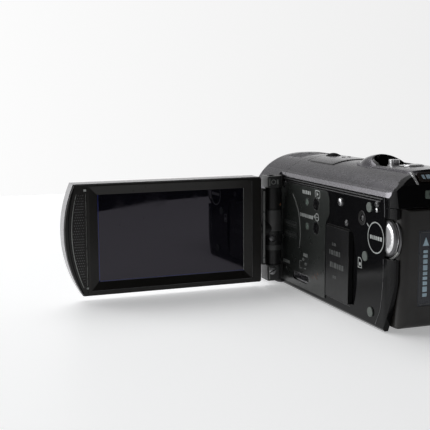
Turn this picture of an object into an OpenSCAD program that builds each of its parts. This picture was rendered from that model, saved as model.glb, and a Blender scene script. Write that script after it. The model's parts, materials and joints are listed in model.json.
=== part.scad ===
// Hand-held flash-memory camcorder with a side-opening display.
// X runs to the operator's right, Y runs forward along the lens axis and Z runs up.
// The origin is the mouth of the tripod socket, in the flat base under the lens axis.

/* [Body] */
// Half width of the body at the height of the lens axis
body_r = 29; // [28:0.5:30]
// Height of the crest above the lens axis
crest_h = 27.6; // [27.4:0.1:28]
// Height of the lens axis above the base
axis_z = 32; // [31.5:0.5:33]
// Distance from the lens axis to the flat wall behind the display
bay_x = 22; // [21.5:0.5:22.5]
// Thickness of the casing
wall = 1.8; // [1.4:0.1:2]
// Width of the parting lines between covers
seam = 0.3; // [0.1:0.05:0.3]
// Top edge of the flat wall behind the display
bay_top = 50.1; // [49.5:0.1:50.5]
// Parting line between the front cover and the top cover
split_y = 30.5; // [29:0.5:31.5]
// Rear edge of the top cover
shell_rear = -57.5; // [-58:0.5:-57]
// Rearmost face of the body
tail_y = -64.5; // [-66:0.5:-64]
// Lower edge of the sloping rear panel, above the battery
pocket_top = 47; // [46.8:0.1:47.4]

/* [Lens] */
// Front face of the nose around the lens
nose_y = 58.8; // [58:0.2:60]
// Front face of the lens ring
ring_y = 63.5; // [63:0.5:65]
// Radius of the filter thread in the lens ring
filter_r = 18.5; // [18.5:0.1:19]

/* [Display] */
// Distance from the lens axis to the vertical hinge axis
hinge_x = 28.4; // [28.2:0.1:28.8]
// Position of the vertical hinge axis along the body
hinge_y = 30; // [29.8:0.1:30.2]
// Radius of the hinge barrel
barrel_r = 3.9; // [3.6:0.1:4]
// Gap from the hinge axis to the near edge of the display panel
panel_gap = 7.7; // [7.4:0.1:8]
// Height of the lower edge of the display panel
panel_z = 3.4; // [3:0.1:3.8]
// Height of the display panel
panel_h = 47.8; // [47:0.1:48]
// Length of the panel along its upper edge
panel_top_l = 84.5; // [84:0.1:85]
// Length of the panel at the bulge of its free end
panel_l = 88.9; // [88.5:0.1:89.2]
// Length of the panel along its lower edge
panel_low_l = 81.4; // [81:0.1:82]
// Thickness of the display panel
panel_t = 10; // [9.6:0.1:10.2]
// Width of the lit display area, three inches across its diagonal
screen_w = 66.4; // [64:0.1:67]
// Height of the lit display area
screen_h = 37.4; // [36:0.1:38]

/* [Battery] */
// Width of the battery pack
battery_w = 31.8; // [31:0.1:32]
// Depth of the battery pack
battery_d = 18.5; // [18:0.1:18.6]
// Height of the battery pack
battery_h = 44.6; // [44:0.1:45]

/* [Controls] */
// Travel of the small push buttons on the bay wall
press = 0.5; // [0.3:0.1:0.6]
// Radius of the chrome thumb dial
dial_r = 7.1; // [6.8:0.1:7.2]

/* [Hidden] */

$fn = 64;
slack = 0.05;                    // running clearance on a radius
gap = 0.25;                      // clearance round a part that moves
wall_x = -bay_x;
foot = 1;                        // bevel along the lower edge of the body
base_r = 8;                      // rounding under the grip
base_x = (body_r - axis_z / 2 - base_r / 2) / cos(30);
tail_r = 14;                     // rounding of the two rear corners, seen from above
grip_seam = 42;                  // parting line on the grip side
base_seam = 11;                  // parting line under the grip
panel_mid = panel_z + panel_h / 2;
battery_x = wall_x + 2.7;        // left face of the battery
pocket_r = battery_x + battery_w + gap;
pocket_y = tail_y + battery_d + gap;
crest_z = axis_z + crest_h;
crest_n = 2.4;                   // squareness of the crest, 2 for an ellipse

// ---- outlines -------------------------------------------------------------

function arc(c, r, a0, a1, n) =
    [for (i = [0:n]) let (a = a0 + (a1 - a0) * i / n) c + r * [cos(a), sin(a)]];

// centre of the circle through three points
function centre3(a, b, c) =
    let (d = 2 * (a.x * (b.y - c.y) + b.x * (c.y - a.y) + c.x * (a.y - b.y)))
    [(a * a * (b.y - c.y) + b * b * (c.y - a.y) + c * c * (a.y - b.y)) / d,
     (a * a * (c.x - b.x) + b * b * (a.x - c.x) + c * c * (b.x - a.x)) / d];

// the arc through three points, as a polyline; it must span less than half a turn
function arc3(a, b, c, n) =
    let (m = centre3(a, b, c), a0 = atan2(a.y - m.y, a.x - m.x), a1 = atan2(c.y - m.y, c.x - m.x),
         far = a1 - a0 > 180 ? a1 - 360 : a1 - a0 < -180 ? a1 + 360 : a1)
    arc(m, norm(a - m), a0, far, n);

// point of the body's outline at the angle a, inset by d: squarish above the lens axis, round below it
function crest(d, a) = a < 0 ? [0, axis_z] + (body_r - d) * [cos(a), sin(a)]
    : [(body_r - d) * sign(cos(a)) * pow(abs(cos(a)), 2 / crest_n),
       axis_z + (crest_h - d) * pow(sin(a), 2 / crest_n)];

// height of the crest over the point x
function crest_at(x) = axis_z + crest_h * pow(1 - pow(abs(x) / body_r, crest_n), 1 / crest_n);

// cross-section of the body behind the hinge, inset by d: the crest arc ends at the bay wall
function body_section(d) =
    let (last = 3 * floor(acos(-pow((-wall_x - d) / (body_r - d), crest_n / 2)) / 3), p = crest(d, last),
         q = crest(d, last + 3),
         t = (p.x - wall_x - d) / (p.x - q.x))
    concat([for (a = [-30:3:last]) crest(d, a)], [p + t * (q - p)],
        [[wall_x + d, foot + d], [wall_x + foot + d, d]],
        arc([base_x, base_r], base_r - d, -90, -30, 8));

// cross-section of the front cover, ahead of the hinge, inset by d
function nose_section(d) = concat(
    [for (a = [-30:3:180]) crest(d, a)],
    arc([base_r - body_r, base_r], base_r - d, 180, 270, 10),
    arc([base_x, base_r], base_r - d, -90, -30, 8));

// the body seen from the side, inset by d, with its sloping rear panel and curved tail
function side_profile(d) = concat(
    [[nose_y, 0], [nose_y, 80], [shell_rear + d, 80], [shell_rear + d, 60.3 - d],
     [-63 + d, 55.2 - d / 2]],
    arc3([tail_y + 0.3 + d, pocket_top - 1], [tail_y + d, 27], [-57.2 + d, 0], 16));

// the body seen from above, inset by d, with its rounded rear corners
function plan_outline(d) = concat(
    [[wall_x - 12, nose_y + 10], [wall_x - 12, 35], [wall_x + d, 35]],
    arc([wall_x + tail_r, -57.5], tail_r - d, 180, 210, 8),
    arc([body_r - tail_r, tail_y + tail_r], tail_r - d, 270, 360, 16),
    [[body_r + 12, 35], [body_r + 12, nose_y + 10]]);

// parting line between the top cover and the rear panel, seen from the side: an S-curve moved by g
function rear_seam(g) = concat([[shell_rear + g, 30], [shell_rear + g, 49.6]],
    arc3([shell_rear - 1.8 + g, 50.3], [shell_rear - 3.8 + g, 52.8], [shell_rear - 1.1 + g, 55.8], 10),
    arc3([shell_rear - 0.8 + g, 56.2], [shell_rear + 0.3 + g, 57.6], [shell_rear + g, 59.6], 8),
    [[shell_rear + g, 80]]);

module along_y(y0, y1) { translate([0, y1, 0]) rotate([90, 0, 0]) linear_extrude(y1 - y0) children(); }
module along_x(x0, x1) {
    translate([x0, 0, 0]) rotate([90, 0, 90]) linear_extrude(x1 - x0) children();
}
module block(x, y, z) { translate([x[0], y[0], z[0]]) cube([x[1] - x[0], y[1] - y[0], z[1] - z[0]]); }
module rod_x(r, x0, x1) { translate([x0, 0, 0]) rotate([0, 90, 0]) cylinder(r = r, h = x1 - x0); }
module rod_y(r, y0, y1) { translate([0, y1, 0]) rotate([90, 0, 0]) cylinder(r = r, h = y1 - y0); }
module lens_axis() { translate([0, 0, axis_z]) children(); }

// rectangle with rounded corners, lower left corner at the origin
module pill(w, h, r) {
    translate([r, 0]) square([w - 2 * r, h]);
    translate([0, r]) square([w, h - 2 * r]);
    for (x = [r, w - r], y = [r, h - r]) translate([x, y]) circle(r);
}

// solid form of the body behind the front cover, inset by d
module body_form(d) {
    intersection() {
        along_y(tail_y - 5, 35) polygon(body_section(d));
        along_x(-60, 60) polygon(side_profile(d));
        linear_extrude(80) polygon(plan_outline(d));
    }
}

module body_shell() {
    difference() {
        body_form(0);
        body_form(wall);
    }
}

// ---- casing ---------------------------------------------------------------

shoe_half = 13;                  // half width of the flap over the accessory shoe
shoe_front = 24.9;               // front corners of the flap
shoe_rear = 3.3;                 // rear corners of the flap
shoe_bow = 3.1;                  // how far the flap's front edge bows forward
tab_y = 26;                      // centre of the round tab at the flap's front edge
tab_r = 3.4;
dish_at = [-0.5, -26.2];         // centre of the dish in front of the zoom lever
dish_r = 8.1;
lever_box = [[-8.6, -36.4], [11.4, 12]];    // corner and size of the lever's part of the dish
photo_at = [-0.5, -41.9];        // centre of the photo button
mound_rise = 3.7;                // height of the mound over the crest
mound_at = [-1.5, -21];
mound_half = [9.4, 14];          // half width and half length of the mound's base
deck_rise = 0.6;                 // height of the deck over the crest
deck_half = 9.7;
grille_half = 12.5;              // half width of the microphone grille
grille_y = [35.5, 50.5];
knuckle = 0.8;                   // radius of the flap knuckles
flap_edge = 1.2;                 // radius of the flap's hinged edge about its pin
flap_gap = 0.4;
shoe_edge = atan(crest_at(shoe_half - 0.5) - crest_at(shoe_half + 0.5));
shoe_pin = [shoe_half - knuckle * (sin(shoe_edge) + cos(shoe_edge)),
    crest_at(shoe_half) - knuckle * (cos(shoe_edge) - sin(shoe_edge))];

// plan of the shoe flap grown by g: the front edge bows forward
module shoe_outline(g) {
    half = shoe_half + g;
    front = shoe_front + g;
    polygon(concat([[-half, shoe_rear - g], [half, shoe_rear - g]],
        arc3([half, front], [0, front + shoe_bow], [-half, front], 16)));
}

// plan of the dish and the lever's place behind it, inset by d
module dish_outline(d) {
    translate(dish_at) circle(dish_r - d);
    translate(lever_box[0] + [d, d]) pill(lever_box[1].x - 2 * d, lever_box[1].y - 2 * d, 3);
}

// upper outline of the body inset by d, closed along the lens axis
module crest_outline(d) { polygon([for (a = [0:3:180]) crest(d, a)]); }

// raised strip of the crest that the controls stand on
module deck() {
    intersection() {
        along_y(-56.6, -9) crest_outline(-deck_rise);
        translate([0, 0, crest_z - 4]) linear_extrude(8)
            translate([-deck_half, -56.6]) pill(2 * deck_half, 47, 5);
    }
}

module mound() {
    sunk = 3;                    // depth of the mound's centre below the crest
    translate([mound_at.x, mound_at.y, crest_z - sunk])
        scale([mound_half.x, mound_half.y, sunk + mound_rise] / 10) sphere(10, $fn = 96);
}

module top_cover() {
    color("#6f6a73") difference() {
        union() {
            intersection() {
                body_shell();
                union() {
                    block([-40, 0], [-80, split_y - seam], [bay_top + seam, 80]);
                    block([0, 40], [-80, split_y - seam], [grip_seam + seam, 80]);
                }
                along_x(-40, 40) polygon(concat([[40, 80], [40, 30]], rear_seam(seam / 2)));
            }
            difference() {
                union() {
                    deck();
                    mound();
                }
                along_y(-70, 40) crest_outline(1);
                block([-30, 30], [-70, 40], [0, axis_z]);
            }
        }
        // the cover's rear bulge is on its shoulders only, clear of the mode button between them
        block([-15, 15], [-80, shell_rear - 0.2], [pocket_top, 56.5]);
        translate([0, 0, crest_z - 12]) linear_extrude(20) shoe_outline(flap_gap);
        translate([shoe_pin.x, 0, shoe_pin.y]) {
            rod_y(flap_edge + 0.1, shoe_rear - 1.2, shoe_front + 1.2);
            rod_y(0.5 + slack, shoe_rear - 2.7, shoe_front + 1.8);
        }
        translate([0, tab_y, crest_z - 5]) cylinder(r = tab_r + gap, h = 10);
        translate([0, 0, crest_z - 8]) linear_extrude(20) dish_outline(0);
        translate([photo_at.x, photo_at.y, crest_z - 8]) linear_extrude(20)
            translate([-4.4, -3.6]) pill(8.8, 7.2, 3.4);
    }
}

brow_y = 54.5;                   // where the nose starts to round inwards
nose_r = body_r - 0.15;

module front_cover() {
    color("#726d76") difference() {
        union() {
            along_y(35.2, brow_y) polygon(nose_section(0));
            along_y(brow_y - 1, brow_y + 4) intersection() {
                polygon(nose_section(1.2));
                translate([-40, 0]) square([80, 17]);
            }
            along_y(split_y, 35.3) polygon(body_section(0));
            lens_axis() scale([1, 1, crest_h / body_r]) rotate([-90, 0, 0]) translate([0, 0, brow_y])
                rotate_extrude($fn = 120) polygon(concat([[0, -1], [nose_r, -1]],
                    arc([nose_r - 2.2, 0], 2.2, 0, 40, 4),
                    arc3([nose_r - 1.1, 2.3], [nose_r - 2, 3.5], [nose_r - 3.6, nose_y - brow_y], 6),
                    [[0, nose_y - brow_y]]));
        }
        along_y(35.2 + wall, brow_y) polygon(nose_section(wall));
        along_y(split_y - 1, 35.3 + wall) polygon(body_section(wall));
        along_y(brow_y - 1, brow_y + 2.4) polygon(nose_section(wall + 1.2));
        lens_axis() rod_y(body_r - 5.6, 50, nose_y - 1.6);
        lens_axis() rod_y(20.2, 50, 80);
        block([-40, wall_x + wall + seam], [split_y - 5, 35.2], [-1, bay_top + seam]);
        lens_axis() rotate([90, 0, 0]) translate([0, 0, -grille_y[1] - gap])
            intersection() {
                cylinder(r = body_r + 5, h = grille_y[1] - grille_y[0] + 2 * gap);
                translate([-grille_half - gap, 0, 0]) cube([2 * (grille_half + gap), 40, 40]);
            }
        translate([-21, brow_y - 1, 3.4]) along_y(0, 9) pill(12.4, 5.4, 2.2);
        translate([-6, brow_y - 1, 3.9]) along_y(0, 9) pill(8.4, 4.4, 2.1);
    }
}

door_y = [-32.3, -12];
door_z = [4.5, 34.5];
buttons = [[-1.9, 41.5], [6.8, 41.4], [-2.1, 31.2], [6.6, 30.8]];   // play, power, display, infrared
dial_at = [wall_x, -56.7, 35.4];
dial_x = [0.55, 2.35];           // faces of the dial, from the bay wall
hub_r = 0.6;                     // radius of the dial's axle
bay_screws = [[-23.3, 44.9], [-28.2, 37], [-40.5, 40.7], [-51.5, 47.2], [30.5, 47]];
base_screws = [[-17, -38], [-17, 24], [7, -30], [6, 24]];
screw_r = 0.9;                   // shank of the small screws
socket_at = [13.3, 6.9];         // stadium-shaped socket, low on the bay wall
hinge_top = 51.2;

// hollow behind the free edge of the card door, as seen from the side
module finger_recess() {
    polygon(concat([[door_y[0] + 1, door_z[0] + 0.5], [door_y[0] + 1, door_z[1] - 0.5]],
        arc3([door_y[0] - 1.1, door_z[1] - 0.5], [door_y[0] - 5, 21],
            [door_y[0] - 2.8, door_z[0] + 0.8], 12)));
}

module left_cover() {
    color("#1d1d1f") difference() {
        intersection() {
            union() {
                body_shell();
                intersection() {
                    body_form(0);
                    block([wall_x, battery_x - gap], [tail_y + 1, pocket_y], [0, pocket_top - seam]);
                }
            }
            block([-40, battery_x - gap], [-80, 34.9], [0, bay_top]);
            union() {
                block([-40, wall_x + wall], [-80, 34.9], [0, bay_top]);
                block([-40, 0], [-80, pocket_y], [0, pocket_top - seam]);
            }
            union() {
                block([-40, 0], [shell_rear + seam, 40], [0, bay_top]);
                block([-40, 0], [tail_y + 1, shell_rear + 1], [0, pocket_top - seam]);
            }
        }
        block([wall_x - 1, wall_x + 1.1], door_y, door_z);
        block([wall_x - 1, wall_x + 3], [door_y[0] + 2.5, door_y[1] - 2.5], [6.5, 31.5]);
        for (b = [buttons[0], buttons[2]]) translate([0, b.x, b.y]) rod_x(2.6, wall_x - 1, wall_x + 4);
        for (b = [buttons[1], buttons[3]]) translate([0, b.x, b.y]) rod_x(1.45, wall_x - 1, wall_x + 4);
        translate([wall_x - 1, socket_at.x - 8.3, socket_at.y - 1.9]) along_x(0, 5) pill(16.6, 3.8, 1.85);
        translate(dial_at) rod_x(dial_r + 0.4, 0.35, 5);
        block([wall_x - 1, wall_x + 6], [tail_y - 5, shell_rear + 0.1],
            [dial_at.z - dial_r - 0.4, dial_at.z + dial_r + 0.4]);
        along_x(wall_x - 1, wall_x + 1.1) finger_recess();
        translate([0, bay_screws[2].x, bay_screws[2].y]) rod_x(2.6, wall_x - 1, wall_x + 0.6);
        for (s = bay_screws) translate([0, s.x, s.y]) rod_x(screw_r + slack, wall_x - 1, wall_x + 5);
    }
}

// satin plate round the buttons, with an S-shaped rear edge
module bay_plate() {
    color("#2b2c2e") difference() {
        along_x(wall_x - 0.35, wall_x) difference() {
            polygon(concat([[34.2, 2.4], [34.2, 48]], arc([-9.8, 44], 4, 90, 180, 8),
                arc([-9.8, 40], 4, 180, 235, 5), arc([-14.4, 33.4], 4, 55, 0, 5),
                [[-10.4, 2.4]]));
            for (b = [buttons[0], buttons[2]]) translate(b) circle(2.6);
            for (b = [buttons[1], buttons[3]]) translate(b) circle(1.45);
            translate(socket_at - [8.3, 1.9]) pill(16.6, 3.8, 1.85);
            translate([29.5, 9.6]) circle(0.45);
            translate(bay_screws[4]) circle(1.5 + gap);
        }
    }
}

module right_cover() {
    color("#232225") difference() {
        intersection() {
            body_shell();
            block([base_seam, 40], [shell_rear + seam, split_y - seam], [0, grip_seam]);
        }
        jack_place() {
            block([-4, 2], [-gap, jack_w + gap], [-jack_h - gap, gap]);
            translate([-knuckle, 0, -knuckle]) rod_y(knuckle * 1.6, -gap, jack_w + gap);
        }
        for (y = lug_y) translate([0, y, lug_z]) rod_x(2.1, 15, 40);
        block([0, pocket_r], [-80, pocket_y], [-1, pocket_top]);
        block([0, pocket_r + 1.6], [-80, pocket_y + 1.6], [wall + 0.2, pocket_top + 1.6]);
        record_place() rod_y(7, -8, 8);
    }
}

module bottom_cover() {
    color("#2a292b") difference() {
        intersection() {
            body_shell();
            block([wall_x + wall + seam, base_seam - seam], [pocket_y + 1.6, split_y - seam], [0, 6]);
        }
        translate([0, 0, -1]) cylinder(r = 6.5, h = 5);
        for (s = base_screws) translate([s.x, s.y, -1]) {
            cylinder(r = screw_r + slack, h = 5);
            cylinder(r = 2.1, h = 2);
        }
        block(latch_slot_x, latch_slot_y, [-1, 5]);
    }
}

lining = 1.4;                    // thickness of the battery pocket's walls
module rear_cover() {
    color("#141416") difference() {
        union() {
            intersection() {
                body_shell();
                union() {
                    block([-40, 40], [-80, 0], [pocket_top, 80]);
                    block([pocket_r, 40], [-80, 0], [0, 80]);
                }
                along_x(-40, 40) polygon(concat([[-80, 80], [-80, -1], [shell_rear - seam / 2, -1]],
                    rear_seam(-seam / 2)));
            }
            intersection() {
                body_form(seam);
                union() {
                    block([battery_x - 0.1, pocket_r + 1.2], [-80, pocket_y + lining],
                        [pocket_top, pocket_top + lining]);
                    block([pocket_r, pocket_r + lining], [-80, pocket_y + lining], [wall + 0.4, pocket_top + 1]);
                    block([battery_x - 0.1, pocket_r + 1.2], [pocket_y, pocket_y + lining],
                        [wall + 0.4, pocket_top + 1]);
                }
            }
        }
        record_place() rod_y(6.9, -8, 8);
        mode_place() block([-6.8, 6.8], [-2.3, 2.3], [-2.6, 3]);
        lamp_place() block([-5.2, 5.2], [-1.7, 1.7], [-0.6, 3]);
        trim_place() block([-0.45, 0.45], [-3.2, 3.2], [-0.4, 3]);
        for (z = contact_z)
            block([battery_x + 10, battery_x + 14], [pocket_y - 1, pocket_y + 3], [z, z + 5]);
    }
}

// ---- rear controls --------------------------------------------------------

record_turn = 30;                // how far the record button faces round to the grip side
record_at = [body_r - tail_r + tail_r * sin(record_turn),
    tail_y + tail_r - tail_r * cos(record_turn), 36];
module record_place() { translate(record_at) rotate([0, 0, record_turn]) children(); }
slope = atan2(60.3 - 55.2, 63 + shell_rear);       // pitch of the upper rear panel
lamp_tilt = atan2(55.2 - pocket_top + 1, tail_y * -1 - 63 - 0.3);
mode_at = [-4, -60.6, 57.4];
lamp_at = [-4, -63.55, 51.6];

module mode_place() { translate(mode_at) rotate([slope, 0, 0]) children(); }
module lamp_place() { translate(lamp_at) rotate([lamp_tilt, 0, 0]) children(); }
module trim_place() { translate([mode_at.x - 8, mode_at.y, mode_at.z]) rotate([slope, 0, 0]) children(); }

module mode_button() {
    color("#2a2320") mode_place() translate([0, 0, -1.6]) linear_extrude(2.2)
        translate([-6.6, -2.1]) pill(13.2, 4.2, 0.6);
}
module rear_trim() {
    color("#c9c9cc") trim_place() translate([0, 0, -0.4]) linear_extrude(0.7)
        translate([-0.4, -3.1]) square([0.8, 6.2]);
}
module mode_lamps() {
    color("#3a3f3c") lamp_place() translate([0, 0, -0.5]) linear_extrude(0.6)
        for (x = [-5, 0.4]) translate([x, -1.5]) pill(4.6, 3, 0.4);
}

module record_button() {
    color("#3c3c40") record_place() difference() {
        rod_y(5.9, -0.7, 3.6);
        translate([0, -29.2, 0]) sphere(28.8, $fn = 96);
    }
}
module record_ring() {
    color("#b8b8bc") record_place() difference() {
        rod_y(6.88, -0.5, 4);
        rod_y(6, -1, 5);
    }
}

// ---- controls on the bay wall ---------------------------------------------

module round_button(at) {
    translate([0, at.x, at.y]) difference() {
        union() {
            rod_x(2.45, wall_x - 0.6, wall_x + wall + press + 0.9);
            rod_x(3.2, wall_x + wall + press + 0.1, wall_x + wall + press + 0.9);
        }
        translate([wall_x - 4.1, 0, 0]) sphere(3.8, $fn = 64);
    }
}
module pin_button(at) {
    translate([0, at.x, at.y]) {
        rod_x(1.35, wall_x - 0.5, wall_x + wall + press + 0.9);
        rod_x(2, wall_x + wall + press + 0.1, wall_x + wall + press + 0.9);
    }
}
module play_button() { color("#2c2c2e") round_button(buttons[0]); }
module power_button() { color("#9fb3a6") pin_button(buttons[1]); }
module display_button() { color("#2c2c2e") round_button(buttons[2]); }
module infrared_button() { color("#8d9098") pin_button(buttons[3]); }

module thumb_dial() {
    color("#d6d6d8") translate(dial_at) rotate([0, 90, 0]) difference() {
        rotate_extrude($fn = 96) polygon(concat([[0, dial_x[0]]],
            arc3([3, dial_x[0]], [dial_r - 1.1, dial_x[0] + 0.5], [dial_r, dial_x[0] + 1.3], 14),
            [[dial_r - 0.1, dial_x[1] - 0.2], [dial_r - 0.4, dial_x[1]], [0, dial_x[1]]]));
        translate([0, 0, -1]) cylinder(r = hub_r + slack, h = 6);
    }
}
module dial_axle() {
    color("#a8a8ac") translate(dial_at) rod_x(hub_r, 0.35, dial_x[1]);
}

door_pin = [wall_x - 0.55, door_y[1] - 0.8];
module card_door() {
    bottom = door_z[0] + 0.3;
    tall = door_z[1] - door_z[0] - 0.6;
    color("#232325") {
        difference() {
            block([wall_x - 1.1, wall_x + 0.95], [door_y[0] + 0.3, door_pin.y], [bottom, bottom + tall]);
            translate([wall_x - 1.2, door_y[0] - 0.3, 19.5]) rotate([0, 0, 45])
                cube([1.2, 1.2, 9], center = true);
        }
        translate([door_pin.x, door_pin.y, bottom]) cylinder(r = 0.55, h = tall);
    }
}
module card_holder() {
    color("#9c9ea2") difference() {
        block([wall_x + wall + 0.3, 11.4], [-24.2, -17.8], [7.5, 31.5]);
        block([wall_x, 10.9], [-22.15, -20.25], [9.3, 29.7]);
        block([wall_x, 6], [-23.6, -18.4], [12, 27]);
    }
}
module memory_card() {
    color("#27406b") difference() {
        block([wall_x + 1.6, 10], [-22, -20.4], [9.5, 29.5]);
        translate([10, -23, 29.5]) rotate([0, 45, 0]) cube([3, 5, 3], center = true);
    }
}
module bay_socket() {
    color("#5c5d60") translate([wall_x + 0.3, socket_at.x - 8.25, socket_at.y - 1.85])
        difference() {
            along_x(0, 4) pill(16.5, 3.7, 1.8);
            translate([0, 0.6, 0.6]) along_x(-1, 3) pill(15.3, 2.5, 1.2);
        }
}
module bumper_pads() {
    color("#77807a") for (p = [[-46.4, 45.6], [-43.7, 26.4], [-48.4, 5.6]])
        translate([0, p.x, p.y]) rod_x(1.9, wall_x - 0.5, wall_x);
}
// screw with a domed head and a cross recess, head towards -Z
module small_screw(head, shank) {
    dome = (head * head + 0.49) / 1.4;
    difference() {
        union() {
            intersection() {
                translate([0, 0, dome - 0.7]) sphere(dome, $fn = 48);
                translate([0, 0, -0.7]) cylinder(r = head, h = 0.7);
            }
            translate([0, 0, -0.1]) cylinder(r = screw_r, h = shank + 0.1);
        }
        for (a = [0, 90]) rotate(a) translate([-head * 0.6, -0.2, -1]) cube([head * 1.2, 0.4, 0.8]);
    }
}
module body_screws() {
    color("#8b8c90") {
        for (i = [0:len(bay_screws) - 1])
            translate([wall_x + (i == 2 ? 0.6 : 0), bay_screws[i].x, bay_screws[i].y])
                rotate([0, 90, 0]) small_screw(i < 1 ? 1.8 : 1.4, 1.1);
        for (s = base_screws) translate([s.x, s.y, 1]) small_screw(1.9, 3.4);
    }
}

// ---- battery --------------------------------------------------------------

battery_edge = 3.6;              // rounding of the outer upright edges of the pack
battery_z = pocket_top - gap - battery_h;
contact_z = [16, 24, 32];        // lower edges of the three contacts
label_x = 7.3;                   // label's left edge from the pack's left face
label_z = 10.4;
label_w = 18;
label_h = 28.2;

module battery() {
    color("#211d1b") difference() {
        translate([battery_x, tail_y, battery_z]) intersection() {
            linear_extrude(battery_h) polygon(concat(
                arc([battery_edge, battery_edge], battery_edge, 180, 270, 12),
                arc([battery_w - battery_edge, battery_edge], battery_edge, 270, 360, 12),
                [[battery_w, battery_d], [0, battery_d]]));
            along_x(0, battery_w) polygon(concat(arc([2, 2], 2, 180, 270, 8),
                [[battery_d, 0], [battery_d, battery_h]], arc([1, battery_h - 1], 1, 90, 180, 5)));
        }
        translate([battery_x + label_x, tail_y, label_z]) block([0, label_w], [-1, 0.3], [0, label_h]);
        for (x = [0.6, battery_w - 1.4]) translate([battery_x + x - 0.7, pocket_y - gap - 4, battery_z + 4])
            cube([1.4, 1.6, battery_h]);
    }
}
module battery_label() {
    color("#20252c") translate([battery_x + label_x, tail_y, label_z])
        block([0.1, label_w - 0.1], [0.05, 0.3], [0.1, label_h - 0.1]);
}
module battery_contacts() {
    color("#cfa64a") for (z = contact_z)
        block([battery_x + 10.2, battery_x + 13.8], [pocket_y + 0.1, pocket_y + 2.6], [z + 0.2, z + 4.8]);
}
latch_slot_x = [-14, -2];
latch_slot_y = [-42.5, -36.5];
module battery_latch() {
    color("#38373a") difference() {
        block([latch_slot_x[0] + gap, latch_slot_x[0] + 7.7],
            [latch_slot_y[0] + gap, latch_slot_y[1] - gap], [0.3, 2.4]);
        for (x = [1.6:1.4:6]) translate([latch_slot_x[0] + x, -45, 0]) cube([0.6, 12, 0.7]);
    }
}

// ---- grip side ------------------------------------------------------------

jack_w = 28;
jack_h = 12.4;
module jack_place() {
    translate([body_r * cos(30) - 0.75, -24, axis_z - body_r / 2 - 1.3]) rotate([0, 30, 0]) children();
}
module jack_cover() {
    color("#29282b") jack_place() {
        difference() {
            translate([-1.5, 0, -jack_h]) cube([1.5, jack_w, jack_h]);
            translate([-0.5, 6, -jack_h - 0.1]) cube([1, 16, 1.2]);
        }
        translate([-knuckle, 0, -knuckle]) rod_y(knuckle, 0, jack_w);
    }
}
module tripod_socket() {
    color("#b9babc") difference() {
        union() {
            cylinder(r = 6.4, h = 7);
            translate([0, 0, wall + 0.2]) cylinder(r = 8, h = 1);
        }
        translate([0, 0, -0.01]) cylinder(r = 3.175, h = 5.6);
    }
}
lug_y = [-41, 27];
lug_z = 33;
module strap_lugs() {
    color("#2c2b2e") for (y = lug_y) translate([0, y, lug_z]) {
        rod_x(2, 24, body_r + 0.4);
        for (z = [-11.2, 9.8]) block([body_r + 0.1, body_r + 4.4], [-1.4, 1.4], [z, z + 1.4]);
        translate([body_r + 3, 0, -10.5]) cylinder(r = 1.2, h = 21);
        block([body_r + 0.1, body_r + 1.2], [-1.4, 1.4], [-11.2, 11.2]);
    }
}
strap_bow = 9;                   // how far the strap stands off at its middle
module grip_strap() {
    half = (lug_y[1] - lug_y[0]) / 2;
    mid = (lug_y[1] + lug_y[0]) / 2;
    x0 = body_r + 5.6;
    turn = (half * half + strap_bow * strap_bow) / (2 * strap_bow);
    color("#2f2d2e") translate([0, 0, lug_z - 9]) linear_extrude(18) intersection() {
        translate([x0 + strap_bow - turn, mid]) difference() {
            circle(turn + 1.2, $fn = 180);
            circle(turn - 1.2, $fn = 180);
        }
        translate([x0 - 0.4, mid - half - 1]) square([strap_bow + 4, 2 * half + 2]);
    }
}

// ---- inside ---------------------------------------------------------------

barrel_r0 = 19.3;
module chassis() {
    color("#8f9296") difference() {
        union() {
            block([-18, 10], [pocket_y + 3, 49], [3.2, 4.2]);
            block([12.6, 13.4], [pocket_y + 3, 4], [3.2, 44]);
            block([9, 13.4], [pocket_y + 3, 4], [3.2, 4.2]);
            for (y = [12, 44]) {
                intersection() {
                    lens_axis() rod_y(25.2, y, y + 1.2);
                    block([-18, 30], [y, y + 1.2], [3.2, 52]);
                }
                block([-12, 10], [y, y + 1.2], [3.2, 12]);
            }
        }
        lens_axis() rod_y(barrel_r0 + 0.1, 0, 60);
        cylinder(r = 8.4, h = 9);
        for (s = base_screws) translate([s.x, s.y, 0]) cylinder(r = 2, h = 6);
    }
}
module main_board() {
    color("#1f5c3a") {
        block([14.2, 15.4], [pocket_y + 4, 3], [9, 44]);
        for (c = [[-34, 30, 9], [-20, 32, 7], [-14, 18, 8], [-32, 16, 6]])
            block([13.6, 14.2], [c[0], c[0] + c[2]], [c[1], c[1] + c[2]]);
    }
}
module sensor_board() {
    color("#1f5c3a") lens_axis() block([-14, 12], [6.2, 7.4], [-13, 13]);
}
module image_sensor() {
    color("#2b3338") lens_axis() block([-6, 6], [7.4, 9], [-5, 5]);
}
module lens_barrel() {
    color("#303033") lens_axis() difference() {
        union() {
            rod_y(barrel_r0, 10.5, 54.6);
            rod_y(8.4, 9.1, 10.5);
        }
        rod_y(15, 13, 46);
        rod_y(13.05, 45, 56);
        rod_y(7, 8, 14);
    }
}
module lens_group(y, r) {
    lens_axis() {
        difference() {
            rod_y(r, y, y + 5);
            rod_y(r - 3, y - 1, y + 6);
        }
        intersection() {
            rod_y(r - 2.9, y + 1, y + 4.4);
            translate([0, y + 4.2 - 40, 0]) sphere(40, $fn = 120);
        }
    }
}
module zoom_group() { color("#5b5e66") lens_group(33, 14.8); }
module focus_group() { color("#5b5e66") lens_group(17, 14.8); }
module front_lens() {
    color("#3b3558") lens_axis() intersection() {
        rod_y(13, 46.2, 54);
        translate([0, 24, 0]) sphere(29.4, $fn = 120);
    }
}
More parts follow.
